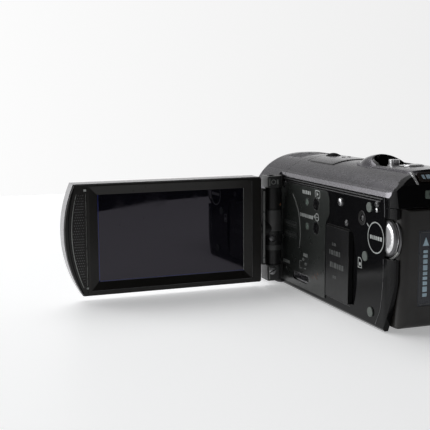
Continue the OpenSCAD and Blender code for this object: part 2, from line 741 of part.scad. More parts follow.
module lens_ring() {
    color("#3a393c") lens_axis() difference() {
        union() {
            rod_y(20.1, nose_y - 1.4, nose_y);
            translate([0, nose_y, 0]) rotate([-90, 0, 0]) rotate_extrude($fn = 120)
                polygon(concat([[0, 0], [21.6, 0], [21.6, ring_y - nose_y - 1]],
                    arc([20.6, ring_y - nose_y - 1], 1, 0, 90, 6), [[0, ring_y - nose_y]]));
        }
        rod_y(filter_r, nose_y + 1.5, ring_y + 1);
        rod_y(filter_r - 0.5, nose_y + 0.4, ring_y);
        rod_y(16.5, nose_y - 3, ring_y);
    }
}
window = [9.4, 7.4];             // half width and half height of the opening before the lens
module barrier_plate() {
    color("#17171a") lens_axis() difference() {
        rod_y(filter_r - 0.55, nose_y + 0.4, nose_y + 1.4);
        along_y(nose_y - 1, nose_y + 3) translate([-window.x, -window.y])
            pill(2 * window.x, 2 * window.y, 2.4);
    }
}
module barrier_blade() {
    y = nose_y - 2.6;
    intersection() {
        rod_y(12.4, y, y + 0.8);
        block([-13, 13], [y, y + 0.8], [0.03, 13]);
    }
}
module barrier_upper() { color("#1c1c1f") lens_axis() barrier_blade(); }
module barrier_lower() { color("#1c1c1f") lens_axis() mirror([0, 0, 1]) barrier_blade(); }

module mic_grille() {
    pitch = 1.15;
    color("#8a858e") difference() {
        intersection() {
            along_y(grille_y[0], grille_y[1]) difference() {
                crest_outline(0);
                crest_outline(1.5);
            }
            block([-grille_half, grille_half], [30, 60], [axis_z, 80]);
        }
        for (s = [-1, 1], i = [0:11]) translate([s * 0.5, grille_y[0] + 0.8 + i * pitch, crest_z - 8])
            rotate([0, 0, s > 0 ? 5 : 175]) translate([0, -0.27, 0]) cube([11.2, 0.54, 12]);
    }
}
module flash_window() {
    color("#d9dde0") translate([-20.8, brow_y + 0.2, 3.6]) along_y(0, 4) pill(12, 5, 2);
}
module remote_window() {
    color("#3a1417") translate([-5.8, brow_y + 0.2, 4.1]) along_y(0, 4) pill(8, 4, 1.9);
}
module accessory_shoe() {
    color("#a9abae") {
        block([-10.5, 10.5], [0, 23], [crest_z - 7.6, crest_z - 6.8]);
        for (s = [-1, 1]) {
            block([s * 9.6 - 0.9, s * 9.6 + 0.9], [3, 17], [crest_z - 6.8, crest_z - 3.8]);
            block([s * 8.4 - 2.1, s * 8.4 + 2.1], [3, 17], [crest_z - 4.6, crest_z - 3.8]);
        }
    }
}
module shoe_cover() {
    color("#77727b") {
        intersection() {
            difference() {
                along_y(-10, 30) crest_outline(0);
                along_y(-11, 31) crest_outline(1.4);
                difference() {
                    block([shoe_pin.x, 20], [-12, 32], [crest_z - 14, crest_z]);
                    translate([shoe_pin.x, 0, shoe_pin.y]) rod_y(flap_edge, -12, 32);
                }
            }
            translate([0, 0, crest_z - 12]) linear_extrude(20) difference() {
                shoe_outline(0);
                translate([0, tab_y]) circle(tab_r + slack, $fn = 64);
            }
        }
        translate([shoe_pin.x, 0, shoe_pin.y]) {
            rod_y(knuckle, shoe_rear + 1, shoe_front - 2);
            rod_y(0.5, shoe_rear - 2.4, shoe_front + 1.5);
        }
    }
}
module shoe_tab() {
    cap = 1.2;
    cap_r = (tab_r * tab_r + cap * cap) / (2 * cap);
    color("#101011") intersection() {
        translate([0, tab_y, crest_z + cap - cap_r]) sphere(cap_r, $fn = 96);
        translate([0, tab_y, crest_z - 1.7]) cylinder(r = tab_r, h = 5);
    }
}
module zoom_dish() {
    floor_z = crest_z - 1.4;
    color("#121213") difference() {
        intersection() {
            translate([0, 0, crest_z - 4]) linear_extrude(12) dish_outline(slack);
            union() {
                mound();
                along_y(-50, 0) crest_outline(0);
            }
        }
        translate([0, 0, floor_z]) linear_extrude(12) dish_outline(0.8);
        block([-12, 12], [-40, dish_at.y - 3], [floor_z, crest_z + 8]);
    }
}
module zoom_lever() {
    lever = [5, 4.6];
    color("#d0d0d3") translate([-5, -33.2, crest_z - 1.3]) difference() {
        union() {
            linear_extrude(1.4) pill(lever.x, lever.y, 1.9);
            translate([0.4, 0.8, 0]) linear_extrude(3.6) pill(lever.x - 0.8, lever.y - 1.5, 1.2);
        }
        for (x = [1:0.8:4]) translate([x, -1, 3.2]) cube([0.35, 7, 2]);
    }
}
module photo_button() {
    color("#1a1a1c") translate([photo_at.x, photo_at.y, crest_z - 3]) difference() {
        linear_extrude(4.3) translate([-3.1, -2.4]) pill(6.2, 4.8, 2.3);
        translate([0, 0, 4.3 + 40 - 0.3]) sphere(40, $fn = 96);
    }
}

// ---- display hinge --------------------------------------------------------

barrel_z = [10.6, 46];
pin_r = 1.5;
knuckle_r = barrel_r + 0.3;      // half width of the fixed blocks
hinge_screw_x = -1.9;            // screws in the hinge, from its axis
carrier_x = 6;                   // middle of the plate that carries the tilt shaft, from the hinge axis
module hinge_bracket() {
    color("#6d6e71") translate([-hinge_x, hinge_y, 0]) difference() {
        union() {
            for (z = [[panel_z, barrel_z[0] - 0.1], [barrel_z[1] + 0.1, hinge_top]]) {
                translate([0, 0, z[0]]) cylinder(r = barrel_r, h = z[1] - z[0]);
                translate([-knuckle_r, -knuckle_r, z[0]]) linear_extrude(z[1] - z[0])
                    pill(knuckle_r + 1.6, 2 * knuckle_r, 0.8);
                block([0, hinge_x + wall_x - 0.4], [2.2, knuckle_r], z);
            }
            translate([0, 0, barrel_z[0] - 0.2]) cylinder(r = pin_r, h = 6);
            translate([0, 0, barrel_z[1] - 5.8]) cylinder(r = pin_r, h = 6);
        }
        translate([hinge_screw_x, -knuckle_r - 1, 7.9]) rotate([-90, 0, 0]) cylinder(r = 1.8, h = 1.5);
        translate([-2.6, -2.6, hinge_top - 0.6]) cube([3.4, 5.2, 2]);
    }
}
module hinge_barrel() {
    color("#1b1b1d") translate([-hinge_x, hinge_y, 0]) difference() {
        union() {
            translate([0, 0, barrel_z[0]]) cylinder(r = barrel_r, h = barrel_z[1] - barrel_z[0]);
            translate([0, 0, 17]) cylinder(r = barrel_r + 0.3, h = 19);
            translate([0, 0, panel_mid]) rod_x(3.6, -carrier_x - 0.6, 0);
            translate([-carrier_x - 0.6, -knuckle_r + 0.1, barrel_z[0] + 0.3]) rotate([90, 0, 90])
                linear_extrude(1.2) pill(2 * knuckle_r - 0.2, barrel_z[1] - barrel_z[0] - 0.6, 1);
        }
        translate([0, 0, barrel_z[0] - 1]) cylinder(r = pin_r + slack, h = 7.2);
        translate([0, 0, barrel_z[1] - 6.2]) cylinder(r = pin_r + slack, h = 7.2);
        translate([0, 0, panel_mid]) rod_x(2.2, -20, -1);
        translate([hinge_screw_x, -barrel_r - 1, 22.9]) rotate([-90, 0, 0]) cylinder(r = 1.5, h = 2);
    }
}
module tilt_shaft() {
    color("#b4b5b8") translate([-hinge_x, hinge_y, panel_mid]) {
        rod_x(2.18, -13.8, -1.05);
        rod_x(3.4, -14.5, -13.7);
    }
}

// ---- display panel --------------------------------------------------------

panel_x = -hinge_x - panel_gap;          // near edge of the panel
panel_y = hinge_y - panel_t / 2;         // screen side of the panel
bezel_t = 1.5;
corner = 0.9;
boss_l = 5.4;                            // length of the boss round the tilt shaft
slope_w = 3.6;                           // width of the sloping border round the screen
glass_in = 1.2;                          // depth of the glass behind the bezel
groove_x = 7.9 + screen_w + 5.3;         // upright groove beside the speaker, from the panel's near edge

// panel seen from the screen side, inset by d: the free end is one bulging arc
function panel_outline(d) =
    let (low = [panel_x - panel_low_l + d, panel_z + d],
         high = [panel_x - panel_top_l + d, panel_z + panel_h - d],
         far = [panel_x - panel_l + d, panel_z + panel_h * 0.52])
    concat([[panel_x - d, panel_z + d + corner], [panel_x - d, panel_z + panel_h - d - corner]],
        arc([panel_x - d - corner, panel_z + panel_h - d - corner], corner, 15, 75, 3),
        [[panel_x - d - corner, panel_z + panel_h - d]],
        arc3(high, far, low, 26),
        [[panel_x - d - corner, panel_z + d]],
        arc([panel_x - d - corner, panel_z + d + corner], corner, -75, -15, 3));

screen_x = panel_x - 8.2 - screen_w;
screen_z = panel_z + 5.7;
module screen_opening(g) {
    translate([screen_x - g, screen_z - g]) square([screen_w + 2 * g, screen_h + 2 * g]);
}

// sloping recess round the screen, widest at the front of the bezel
module screen_slope() {
    lip = 0.5;
    out = slope_w * (glass_in + lip) / glass_in;
    intersection() {
        translate([0, 0, screen_z - 9]) linear_extrude(screen_h + 18) polygon([
            [screen_x - out, panel_y - lip], [screen_x + screen_w + out, panel_y - lip],
            [screen_x + screen_w, panel_y + glass_in], [screen_x, panel_y + glass_in]]);
        along_x(screen_x - 9, screen_x + screen_w + 9) polygon([
            [panel_y - lip, screen_z - out], [panel_y + glass_in, screen_z],
            [panel_y + glass_in, screen_z + screen_h], [panel_y - lip, screen_z + screen_h + out]]);
    }
}

module panel_shell() {
    color("#7f7b83") difference() {
        along_y(panel_y + bezel_t, panel_y + panel_t) polygon(panel_outline(0));
        along_y(panel_y, panel_y + panel_t - 1.4) polygon(panel_outline(1.4));
        translate([0, hinge_y, panel_mid]) rod_x(3.65, panel_x - 3, panel_x + 1);
    }
}
module panel_bezel() {
    color("#1a1918") difference() {
        union() {
            along_y(panel_y, panel_y + bezel_t) polygon(panel_outline(0.25));
            along_y(panel_y + bezel_t, panel_y + panel_t - 1.6) difference() {
                polygon(panel_outline(1.5));
                polygon(panel_outline(2.5));
            }
            translate([0, hinge_y, panel_mid]) rod_x(3.55, panel_x - boss_l, panel_x - 0.3);
        }
        along_y(panel_y - 1, panel_y + 4) screen_opening(0);
        screen_slope();
        block([panel_x - groove_x - 0.25, panel_x - groove_x + 0.25], [panel_y - 1, panel_y + 0.5],
            [panel_z + 1, panel_z + panel_h - 1]);
        along_y(panel_y - 1, panel_y + 0.4) intersection() {
            polygon(panel_outline(2.6));
            translate([panel_x - groove_x - 20, 0]) square([19.2, 80]);
        }
        translate([0, hinge_y, panel_mid]) rod_x(2.18 + slack, panel_x - 20, panel_x + 1);
    }
}
module display_module() {
    color("#54565a") along_y(panel_y + 2.1, panel_y + 4.6) screen_opening(1);
}
module display_glass() {
    color("#0e0f16") along_y(panel_y + glass_in, panel_y + 2.1) screen_opening(-0.02);
}

top_cover();
front_cover();
left_cover();
right_cover();
bottom_cover();
rear_cover();
bay_plate();
chassis();
main_board();
sensor_board();
image_sensor();
lens_barrel();
front_lens();
zoom_group();
focus_group();
lens_ring();
barrier_plate();
barrier_upper();
barrier_lower();
mic_grille();
flash_window();
remote_window();
accessory_shoe();
shoe_cover();
shoe_tab();
zoom_dish();
zoom_lever();
photo_button();
mode_button();
rear_trim();
mode_lamps();
record_button();
record_ring();
power_button();
play_button();
infrared_button();
display_button();
thumb_dial();
dial_axle();
card_door();
card_holder();
memory_card();
bay_socket();
bumper_pads();
body_screws();
battery();
battery_label();
battery_contacts();
battery_latch();
jack_cover();
tripod_socket();
strap_lugs();
grip_strap();
hinge_bracket();
hinge_barrel();
tilt_shaft();
panel_shell();
panel_bezel();
display_module();
display_glass();
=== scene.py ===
import json
import math
import random

import bmesh
import bpy
from mathutils import Matrix, Vector


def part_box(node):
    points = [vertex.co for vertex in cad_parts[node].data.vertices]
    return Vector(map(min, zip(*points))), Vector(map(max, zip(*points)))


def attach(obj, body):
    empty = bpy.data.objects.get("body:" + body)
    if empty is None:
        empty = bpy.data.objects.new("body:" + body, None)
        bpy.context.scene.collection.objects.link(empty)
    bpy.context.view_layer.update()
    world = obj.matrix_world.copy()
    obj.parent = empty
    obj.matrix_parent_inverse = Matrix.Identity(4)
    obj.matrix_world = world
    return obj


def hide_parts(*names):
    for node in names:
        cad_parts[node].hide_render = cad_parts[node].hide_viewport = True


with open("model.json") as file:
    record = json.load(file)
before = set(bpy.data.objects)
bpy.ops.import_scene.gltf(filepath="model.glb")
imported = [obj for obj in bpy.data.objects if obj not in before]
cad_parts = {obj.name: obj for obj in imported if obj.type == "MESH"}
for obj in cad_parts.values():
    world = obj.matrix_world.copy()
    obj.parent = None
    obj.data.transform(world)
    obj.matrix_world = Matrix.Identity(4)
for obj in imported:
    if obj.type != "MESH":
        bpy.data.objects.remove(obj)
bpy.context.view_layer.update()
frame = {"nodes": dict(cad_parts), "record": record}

MM = 0.001
nodes = frame["nodes"]
scene = bpy.context.scene


# ---- places, in millimetres in the row frame --------------------------------

def low(node):
    """Lowest corner of a CAD piece's box, in millimetres."""
    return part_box(node)[0] / MM


def high(node):
    """Highest corner of a CAD piece's box, in millimetres."""
    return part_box(node)[1] / MM


def mid(node):
    """Middle of a CAD piece's box, in millimetres."""
    return (low(node) + high(node)) / 2


WALL_X = low("bay_plate").x + 0.35          # bay wall's surface
PLATE_X = low("bay_plate").x                # satin plate's surface
LENS_Z = mid("lens_ring").z
BODY_Z = 32.0                               # height of the body's widest line
CREST_HALF, CREST_POWER = 29.0, 2.4         # half width and squareness of the body's upper outline
SCREEN_Y = low("display_glass").y           # front of the glass
BEZEL_Y = low("panel_bezel").y              # front of the bezel


# ---- node trees ---------------------------------------------------------------

class Tree:
    """A short way to write a material's nodes."""

    def __init__(self, tree):
        self.tree = tree
        self.tree.nodes.clear()

    def add(self, kind, inputs=None, **settings):
        node = self.tree.nodes.new(kind)
        for key, value in settings.items():
            setattr(node, key, value)
        for key, value in (inputs or {}).items():
            socket = node.inputs[key]
            if hasattr(value, "is_output"):
                self.tree.links.new(value, socket)
            else:
                socket.default_value = value
        return node

    def math(self, operation, a, b=0.0, c=0.0):
        node = self.add("ShaderNodeMath", operation=operation)
        for socket, value in zip(node.inputs, (a, b, c)):
            if hasattr(value, "is_output"):
                self.tree.links.new(value, socket)
            else:
                socket.default_value = value
        return node.outputs[0]

    def span(self, value, a, b, c=0.0, d=1.0):
        """value taken from a..b to c..d, clamped."""
        node = self.add("ShaderNodeMapRange", {0: value, 1: a, 2: b, 3: c, 4: d})
        return node.outputs[0]

    def mix(self, share, a, b):
        node = self.add("ShaderNodeMix", data_type="RGBA")
        for index, value in ((0, share), (6, a), (7, b)):
            socket = node.inputs[index]
            if hasattr(value, "is_output"):
                self.tree.links.new(value, socket)
            else:
                socket.default_value = value
        return node.outputs[2]

    def noise(self, coords, scale, detail=2.0, rough=0.5):
        node = self.add("ShaderNodeTexNoise",
                        {"Vector": coords, "Scale": scale, "Detail": detail, "Roughness": rough})
        return node.outputs[0]


def rgba(colour, gain=1.0):
    """Colour with its alpha, brightened or dimmed by gain."""
    return (colour[0] * gain, colour[1] * gain, colour[2] * gain, 1.0)


SHOULDER = (0.0496, 0.0532)                 # heights between which the shading tilts the shell's lower edge outwards, as if it flared
EDGE_RADIUS = 0.00022                       # rounding that the shader gives to every sharp edge


def moulding(name, colour, rough, metal=0.0, coat=0.0, coat_rough=0.05, grain=0.00012, grain_depth=0.15,
             wear=0.35, mottle=0.12, flake=0.0, specular=0.5, edge=EDGE_RADIUS, flare=0.0):
    """Painted or moulded plastic: fine grain, uneven sheen, faint handling marks and worn edges.
    flare tilts the shading of the lowest part of the shoulder upwards, by that depth."""
    material = bpy.data.materials.new(name)
    material.use_nodes = True
    tree = Tree(material.node_tree)
    place = tree.add("ShaderNodeTexCoord").outputs["Object"]
    cloud = tree.noise(place, 45, 3)
    smear = tree.noise(place, 260, 4, 0.6)
    fine = tree.noise(place, 1 / grain, 2)
    shade = tree.mix(tree.span(cloud, 0.3, 0.7), rgba(colour, 1 - mottle), rgba(colour, 1 + mottle))
    if flake:
        speck = tree.add("ShaderNodeTexVoronoi", {"Vector": place, "Scale": 5200.0})
        glint = tree.math("GREATER_THAN", tree.add("ShaderNodeSeparateColor",
                          {0: speck.outputs["Color"]}).outputs[0], 0.8)
        shade = tree.mix(tree.math("MULTIPLY", glint, flake), shade, rgba(colour, 2.0))
    rounded = tree.add("ShaderNodeBevel", {"Radius": edge}, samples=4).outputs[0]
    if flare:
        height = tree.add("ShaderNodeSeparateXYZ", {0: place}).outputs["Z"]
        swell = tree.span(height, SHOULDER[0], SHOULDER[1], flare, 0.0)
        rounded = tree.add("ShaderNodeBump", {"Height": swell, "Normal": rounded, "Strength": 1.0,
                                              "Distance": 1.0}).outputs[0]
    flat = tree.add("ShaderNodeNewGeometry").outputs["Normal"]
    turn = tree.add("ShaderNodeVectorMath", {0: rounded, 1: flat}, operation="DOT_PRODUCT").outputs["Value"]
    rim = tree.math("MULTIPLY", tree.span(turn, 0.995, 0.9), tree.span(smear, 0.35, 0.6))
    worn = rgba([min(1.0, 0.10 + 1.6 * c) for c in colour])
    shade = tree.mix(tree.math("MULTIPLY", rim, wear), shade, worn)
    sheen = tree.span(smear, 0.25, 0.8, max(0.02, rough * 0.82), min(1.0, rough * 1.22))
    bump = tree.add("ShaderNodeBump", {"Height": fine, "Normal": rounded, "Strength": grain_depth,
                                       "Distance": 0.00006}).outputs[0]
    shader = tree.add("ShaderNodeBsdfPrincipled", {
        "Base Color": shade, "Roughness": sheen, "Metallic": metal, "Normal": bump, "Coat Weight": coat,
        "Coat Roughness": coat_rough, "Coat Normal": rounded, "Specular IOR Level": specular})
    tree.add("ShaderNodeOutputMaterial", {"Surface": shader.outputs[0]})
    return material


def brushed(name, colour, rough, stretch=(1, 1, 30), depth=0.12):
    """Bare or plated metal with fine directional lines and dull patches."""
    material = bpy.data.materials.new(name)
    material.use_nodes = True
    tree = Tree(material.node_tree)
    place = tree.add("ShaderNodeTexCoord").outputs["Object"]
    drawn = tree.add("ShaderNodeMapping", {"Vector": place, "Scale": stretch}).outputs[0]
    lines = tree.noise(drawn, 900, 3)
    haze = tree.noise(place, 300, 3)
    rounded = tree.add("ShaderNodeBevel", {"Radius": EDGE_RADIUS}, samples=4).outputs[0]
    bump = tree.add("ShaderNodeBump", {"Height": lines, "Normal": rounded, "Strength": depth,
                                       "Distance": 0.00004}).outputs[0]
    shade = tree.mix(tree.span(haze, 0.35, 0.7), rgba(colour, 0.8), rgba(colour))
    shader = tree.add("ShaderNodeBsdfPrincipled", {
        "Base Color": shade, "Metallic": 1.0, "Normal": bump,
        "Roughness": tree.span(haze, 0.3, 0.7, rough * 0.8, rough * 1.4)})
    tree.add("ShaderNodeOutputMaterial", {"Surface": shader.outputs[0]})
    return material


GLASS_LEAN = 2.4                            # degrees that the glass's shading normal leans about the upright axis


def screen_glass(name):
    """Coated glass over a dark display, with a few prints that dull it."""
    material = bpy.data.materials.new(name)
    material.use_nodes = True
    tree = Tree(material.node_tree)
    place = tree.add("ShaderNodeTexCoord").outputs["Object"]
    print_marks = tree.noise(place, 140, 5, 0.65)
    dust = tree.add("ShaderNodeTexVoronoi", {"Vector": place, "Scale": 900.0}).outputs["Distance"]
    speck = tree.span(dust, 0.09, 0.05)
    facing = tree.add("ShaderNodeTexCoord").outputs["Normal"]
    leaning = tree.add("ShaderNodeVectorRotate", {"Vector": facing, "Angle": math.radians(GLASS_LEAN)},
                       rotation_type="Z_AXIS").outputs[0]
    turned = tree.add("ShaderNodeVectorTransform", {"Vector": leaning}, vector_type="NORMAL",
                      convert_from="OBJECT", convert_to="WORLD").outputs[0]
    shade = tree.mix(tree.math("MULTIPLY", speck, tree.span(print_marks, 0.55, 0.7)),
                     (0.004, 0.004, 0.007, 1), (0.05, 0.05, 0.09, 1))
    shader = tree.add("ShaderNodeBsdfPrincipled", {
        "Base Color": shade, "Roughness": tree.span(print_marks, 0.45, 0.75, 0.02, 0.09), "IOR": 1.5,
        "Normal": turned,
        "Specular Tint": (0.92, 0.86, 1.0, 1)})
    tree.add("ShaderNodeOutputMaterial", {"Surface": shader.outputs[0]})
    return material


def coated_lens(name, tint):
    """Lens element: clear, with a coloured anti-reflection coating."""
    material = bpy.data.materials.new(name)
    material.use_nodes = True
    tree = Tree(material.node_tree)
    facing = tree.add("ShaderNodeLayerWeight", {"Blend": 0.35}).outputs["Facing"]
    shade = tree.mix(facing, rgba(tint), rgba((tint[2], tint[1], tint[0]), 1.2))
    place = tree.add("ShaderNodeTexCoord").outputs["Object"]
    haze = tree.noise(place, 200, 3)
    shader = tree.add("ShaderNodeBsdfPrincipled", {
        "Base Color": shade, "Roughness": tree.span(haze, 0.4, 0.8, 0.01, 0.05), "IOR": 1.7,
        "Transmission Weight": 0.55, "Coat Weight": 0.6, "Coat Tint": rgba((0.75, 0.65, 1.0))})
    tree.add("ShaderNodeOutputMaterial", {"Surface": shader.outputs[0]})
    return material


def woven(name, colour):
    """Close-woven webbing with fuzz and worn high spots."""
    material = bpy.data.materials.new(name)
    material.use_nodes = True
    tree = Tree(material.node_tree)
    place = tree.add("ShaderNodeTexCoord").outputs["Object"]
    warp = tree.add("ShaderNodeTexWave", {"Vector": place, "Scale": 420.0, "Distortion": 1.2, "Detail": 1.0},
                    bands_direction="Z").outputs[1]
    weft = tree.add("ShaderNodeTexWave", {"Vector": place, "Scale": 330.0, "Distortion": 1.2, "Detail": 1.0},
                    bands_direction="Y").outputs[1]
    cloth = tree.math("MULTIPLY", warp, weft)
    fuzz = tree.noise(place, 1500, 4, 0.7)
    wear = tree.noise(place, 60, 3)
    shade = tree.mix(cloth, rgba(colour, 0.5), rgba(colour, 1.6))
    shade = tree.mix(tree.math("MULTIPLY", tree.span(wear, 0.5, 0.75), tree.math("MULTIPLY", fuzz, 0.5)),
                     shade,
                     rgba(colour, 4.0))
    height = tree.math("ADD", cloth, tree.math("MULTIPLY", fuzz, 0.5))
    bump = tree.add("ShaderNodeBump", {"Height": height, "Strength": 0.8, "Distance": 0.00015}).outputs[0]
    shader = tree.add("ShaderNodeBsdfPrincipled", {
        "Base Color": shade, "Roughness": 0.85, "Normal": bump, "Sheen Weight": 0.25, "Sheen Roughness": 0.4,
        "Specular IOR Level": 0.25})
    tree.add("ShaderNodeOutputMaterial", {"Surface": shader.outputs[0]})
    return material


GREY = (0.105, 0.101, 0.112)
finishes = {}


def finish(make, name, *values, **settings):
    """Adds one material to the table of finishes."""
    finishes[name] = make(name, *values, **settings)


finish(moulding, "grey_shell", GREY, 0.27, metal=0.8, coat=0.3, coat_rough=0.12, flake=0.12, wear=0.0,
       grain_depth=0.012, mottle=0.03, flare=0.0009)
finish(moulding, "black_gloss", (0.005, 0.005, 0.0055), 0.14, grain_depth=0.04, wear=0.2, specular=0.12)
finish(moulding, "black_satin", (0.010, 0.010, 0.0105), 0.34, grain_depth=0.3, specular=0.35)
finish(moulding, "plate_satin", (0.027, 0.030, 0.028), 0.3, grain_depth=0.16, wear=0.5)
finish(moulding, "bezel_black", (0.013, 0.012, 0.011), 0.32, grain_depth=0.15, wear=0.1, specular=0.3)
finish(moulding, "black_matte", (0.007, 0.0066, 0.0064), 0.42, grain_depth=0.25, specular=0.3)
finish(moulding, "panel_grey", (0.19, 0.185, 0.195), 0.28, metal=0.7, coat=0.3, coat_rough=0.2, flake=0.12,
       grain_depth=0.012, mottle=0.03)
finish(moulding, "grille", (0.20, 0.195, 0.21), 0.36, metal=0.5, grain_depth=0.1, mottle=0.05)
finish(moulding, "button_dark", (0.006, 0.006, 0.0065), 0.14, wear=0.5)
finish(moulding, "button_brown", (0.013, 0.008, 0.006), 0.14)
finish(moulding, "lamp", (0.16, 0.20, 0.175), 0.22, coat=0.5)
finish(moulding, "chrome_trim", (0.82, 0.82, 0.83), 0.2, metal=0.6, grain_depth=0.02, mottle=0.05)
finish(brushed, "steel", (0.50, 0.50, 0.51), 0.28)
finish(moulding, "tab_black", (0.003, 0.003, 0.003), 0.5, grain_depth=0.1, wear=0.1, specular=0.05)
finish(moulding, "screw_dull", (0.12, 0.12, 0.122), 0.3, metal=0.8)
finish(moulding, "hinge_metal", (0.042, 0.043, 0.043), 0.34, grain_depth=0.2, wear=0.9, specular=0.5)
finish(moulding, "circuit", (0.02, 0.11, 0.05), 0.35, coat=0.4, mottle=0.3)
finish(moulding, "sensor", (0.05, 0.06, 0.075), 0.1, coat=0.6)
finish(coated_lens, "optics", (0.30, 0.22, 0.48))
finish(screen_glass, "display")
finish(moulding, "window_clear", (0.55, 0.57, 0.58), 0.12, coat=0.8)
finish(moulding, "window_dark", (0.035, 0.007, 0.008), 0.08, coat=0.7)
finish(moulding, "battery_case", (0.010, 0.0085, 0.0075), 0.38, grain_depth=0.35)
finish(moulding, "battery_sticker", (0.014, 0.018, 0.028), 0.3, grain_depth=0.08)
finish(brushed, "gold", (0.75, 0.53, 0.22), 0.2)
finish(moulding, "card_blue", (0.012, 0.03, 0.10), 0.4)
finish(moulding, "pad_rubber", (0.105, 0.12, 0.11), 0.6, grain_depth=0.5)
finish(woven, "strap", (0.016, 0.015, 0.016))
finish(moulding, "thread", (0.05, 0.048, 0.05), 0.7)
finish(moulding, "print_white", (0.42, 0.44, 0.43), 0.5, mottle=0.3)
finish(moulding, "print_grey", (0.085, 0.09, 0.088), 0.5, mottle=0.3)
finish(moulding, "print_orange", (0.16, 0.06, 0.025), 0.5, mottle=0.3)
finish(moulding, "print_blue", (0.46, 0.62, 0.72), 0.5, mottle=0.2)
# light grey for thin lines; on most of its pieces it is a painted highlight along a lit edge or ridge
finish(moulding, "edge_light", (0.34, 0.35, 0.34), 0.3, metal=0.5, mottle=0.2)
# mid grey for thin lines and bands; on some pieces, such as the card door's edge and the screw and dial rims,
# it is a painted highlight
finish(moulding, "edge_mid", (0.13, 0.13, 0.135), 0.3, metal=0.4, mottle=0.2)
finish(moulding, "edge_dark", (0.035, 0.034, 0.036), 0.2, coat=0.3)
finish(moulding, "glow_navy", (0.010, 0.014, 0.10), 0.15, mottle=0.3)
finish(brushed, "copper", (0.62, 0.33, 0.20), 0.25)
finish(moulding, "signal_red", (0.35, 0.012, 0.01), 0.2, coat=0.5)
finish(moulding, "label_silver", (0.30, 0.30, 0.31), 0.35, metal=0.6)


def paint(obj, name):
    """One material on every slot of an object."""
    material = finishes[name]
    if not obj.data.materials:
        obj.data.materials.append(material)
    for index in range(len(obj.data.materials)):
        obj.data.materials[index] = material


slot_of = {part["node"]: part["material_slot"] for part in frame["record"]["subparts"]}
own_finish = {"shoe_tab": "tab_black", "bay_plate": "plate_satin", "panel_bezel": "bezel_black",
              "body_screws": "screw_dull"}
for node_name, node in nodes.items():
    paint(node, own_finish.get(node_name, slot_of[node_name]))


# ---- shapes ---------------------------------------------------------------------

def arc(centre, radius, start, end, count):
    """Points on an arc, with the angles in degrees."""
    steps = [math.radians(start + (end - start) * i / count) for i in range(count + 1)]
    return [(centre[0] + radius * math.cos(a), centre[1] + radius * math.sin(a)) for a in steps]


def arc_through(a, b, c, count):
    """Points on the arc from a to c that passes through b."""
    d = 2 * (a[0] * (b[1] - c[1]) + b[0] * (c[1] - a[1]) + c[0] * (a[1] - b[1]))
    sa, sb, sc = (p[0] ** 2 + p[1] ** 2 for p in (a, b, c))
    u = (sa * (b[1] - c[1]) + sb * (c[1] - a[1]) + sc * (a[1] - b[1])) / d
    v = (sa * (c[0] - b[0]) + sb * (a[0] - c[0]) + sc * (b[0] - a[0])) / d
    start, end = (math.degrees(math.atan2(p[1] - v, p[0] - u)) for p in (a, c))
    if end - start > 180:
        end -= 360
    if end - start < -180:
        end += 360
    return arc((u, v), math.hypot(a[0] - u, a[1] - v), start, end, count)


def pill(x0, y0, x1, y1, r, count=5):
    """Outline of a rectangle with rounded corners."""
    return (arc((x1 - r, y1 - r), r, 0, 90, count) + arc((x0 + r, y1 - r), r, 90, 180, count)
            + arc((x0 + r, y0 + r), r, 180, 270, count) + arc((x1 - r, y0 + r), r, 270, 360, count))


def point(axis, u, v, depth):
    """A point of a drawing on the plane square to an axis."""
    return {"x": Vector((depth, u, v)), "y": Vector((u, depth, v)), "z": Vector((u, v, depth))}[axis]


def prism(bm, axis, outline, start, end, inner=None):
    """Solid drawn on the plane square to axis, from start to end, with an optional hole of as many points."""
    loops = []
    for depth in (start, end):
        loops.append([bm.verts.new(point(axis, u, v, depth)) for u, v in outline])
        if inner:
            loops.append([bm.verts.new(point(axis, u, v, depth)) for u, v in inner])
    walls = [(0, 1), (1, 3), (3, 2), (2, 0)] if inner else [(0, 1)]
    for a, b in walls:
        count = len(outline)
        for i in range(count):
            j = (i + 1) % count
            bm.faces.new((loops[a][i], loops[a][j], loops[b][j], loops[b][i]))
    if not inner:
        bm.faces.new(loops[0])
        bm.faces.new(loops[1])


def sweep(bm, path, section, closed=False):
    """Solid that carries a section along a path; section(i) gives its points across the path."""
    rings = []
    count = len(path)
    normal = None
    for i, p in enumerate(path):
        before = path[i - 1] if i or closed else path[0]
        after = path[(i + 1) % count] if i + 1 < count or closed else path[-1]
        ahead = (after - before).normalized()
        if normal is None:
            normal = ahead.orthogonal().normalized()
        normal = (normal - ahead * normal.dot(ahead)).normalized()
        side = ahead.cross(normal)
        rings.append([bm.verts.new(p + normal * u + side * v) for u, v in section(i)])
    size = len(rings[0])
    for i in range(count if closed else count - 1):
        a, b = rings[i], rings[(i + 1) % count]
        for k in range(size):
            bm.faces.new((a[k], a[(k + 1) % size], b[(k + 1) % size], b[k]))
    if not closed:
        bm.faces.new(rings[0])
        bm.faces.new(rings[-1])


def tube(bm, path, radius, sides=10, closed=False):
    """Round bar; radius is a number or a function of the step along the path."""
    size = radius if callable(radius) else (lambda i: radius)
    last = 360 * (sides - 1) / sides
    sweep(bm, [Vector(p) for p in path], lambda i: arc((0, 0), size(i), 0, last, sides - 1), closed)


def lathe(bm, profile, turn, count=48):
    """Solid of revolution; profile holds (radius, height) and turn takes it from +Z to its place."""
    rings = []
    for radius, height in profile:
        if radius < 1e-6:
            rings.append([bm.verts.new(turn @ Vector((0, 0, height)))])
        else:
            rings.append([bm.verts.new(turn @ Vector((u, v, height)))
                          for u, v in arc((0, 0), radius, 0, 360 * (count - 1) / count, count - 1)])
    for a, b in zip(rings, rings[1:]):
        for k in range(count):
            corners = [a[k % len(a)], a[(k + 1) % len(a)], b[(k + 1) % len(b)], b[k % len(b)]]
            distinct = list(dict.fromkeys(corners))
            if len(distinct) > 2:
                bm.faces.new(distinct)


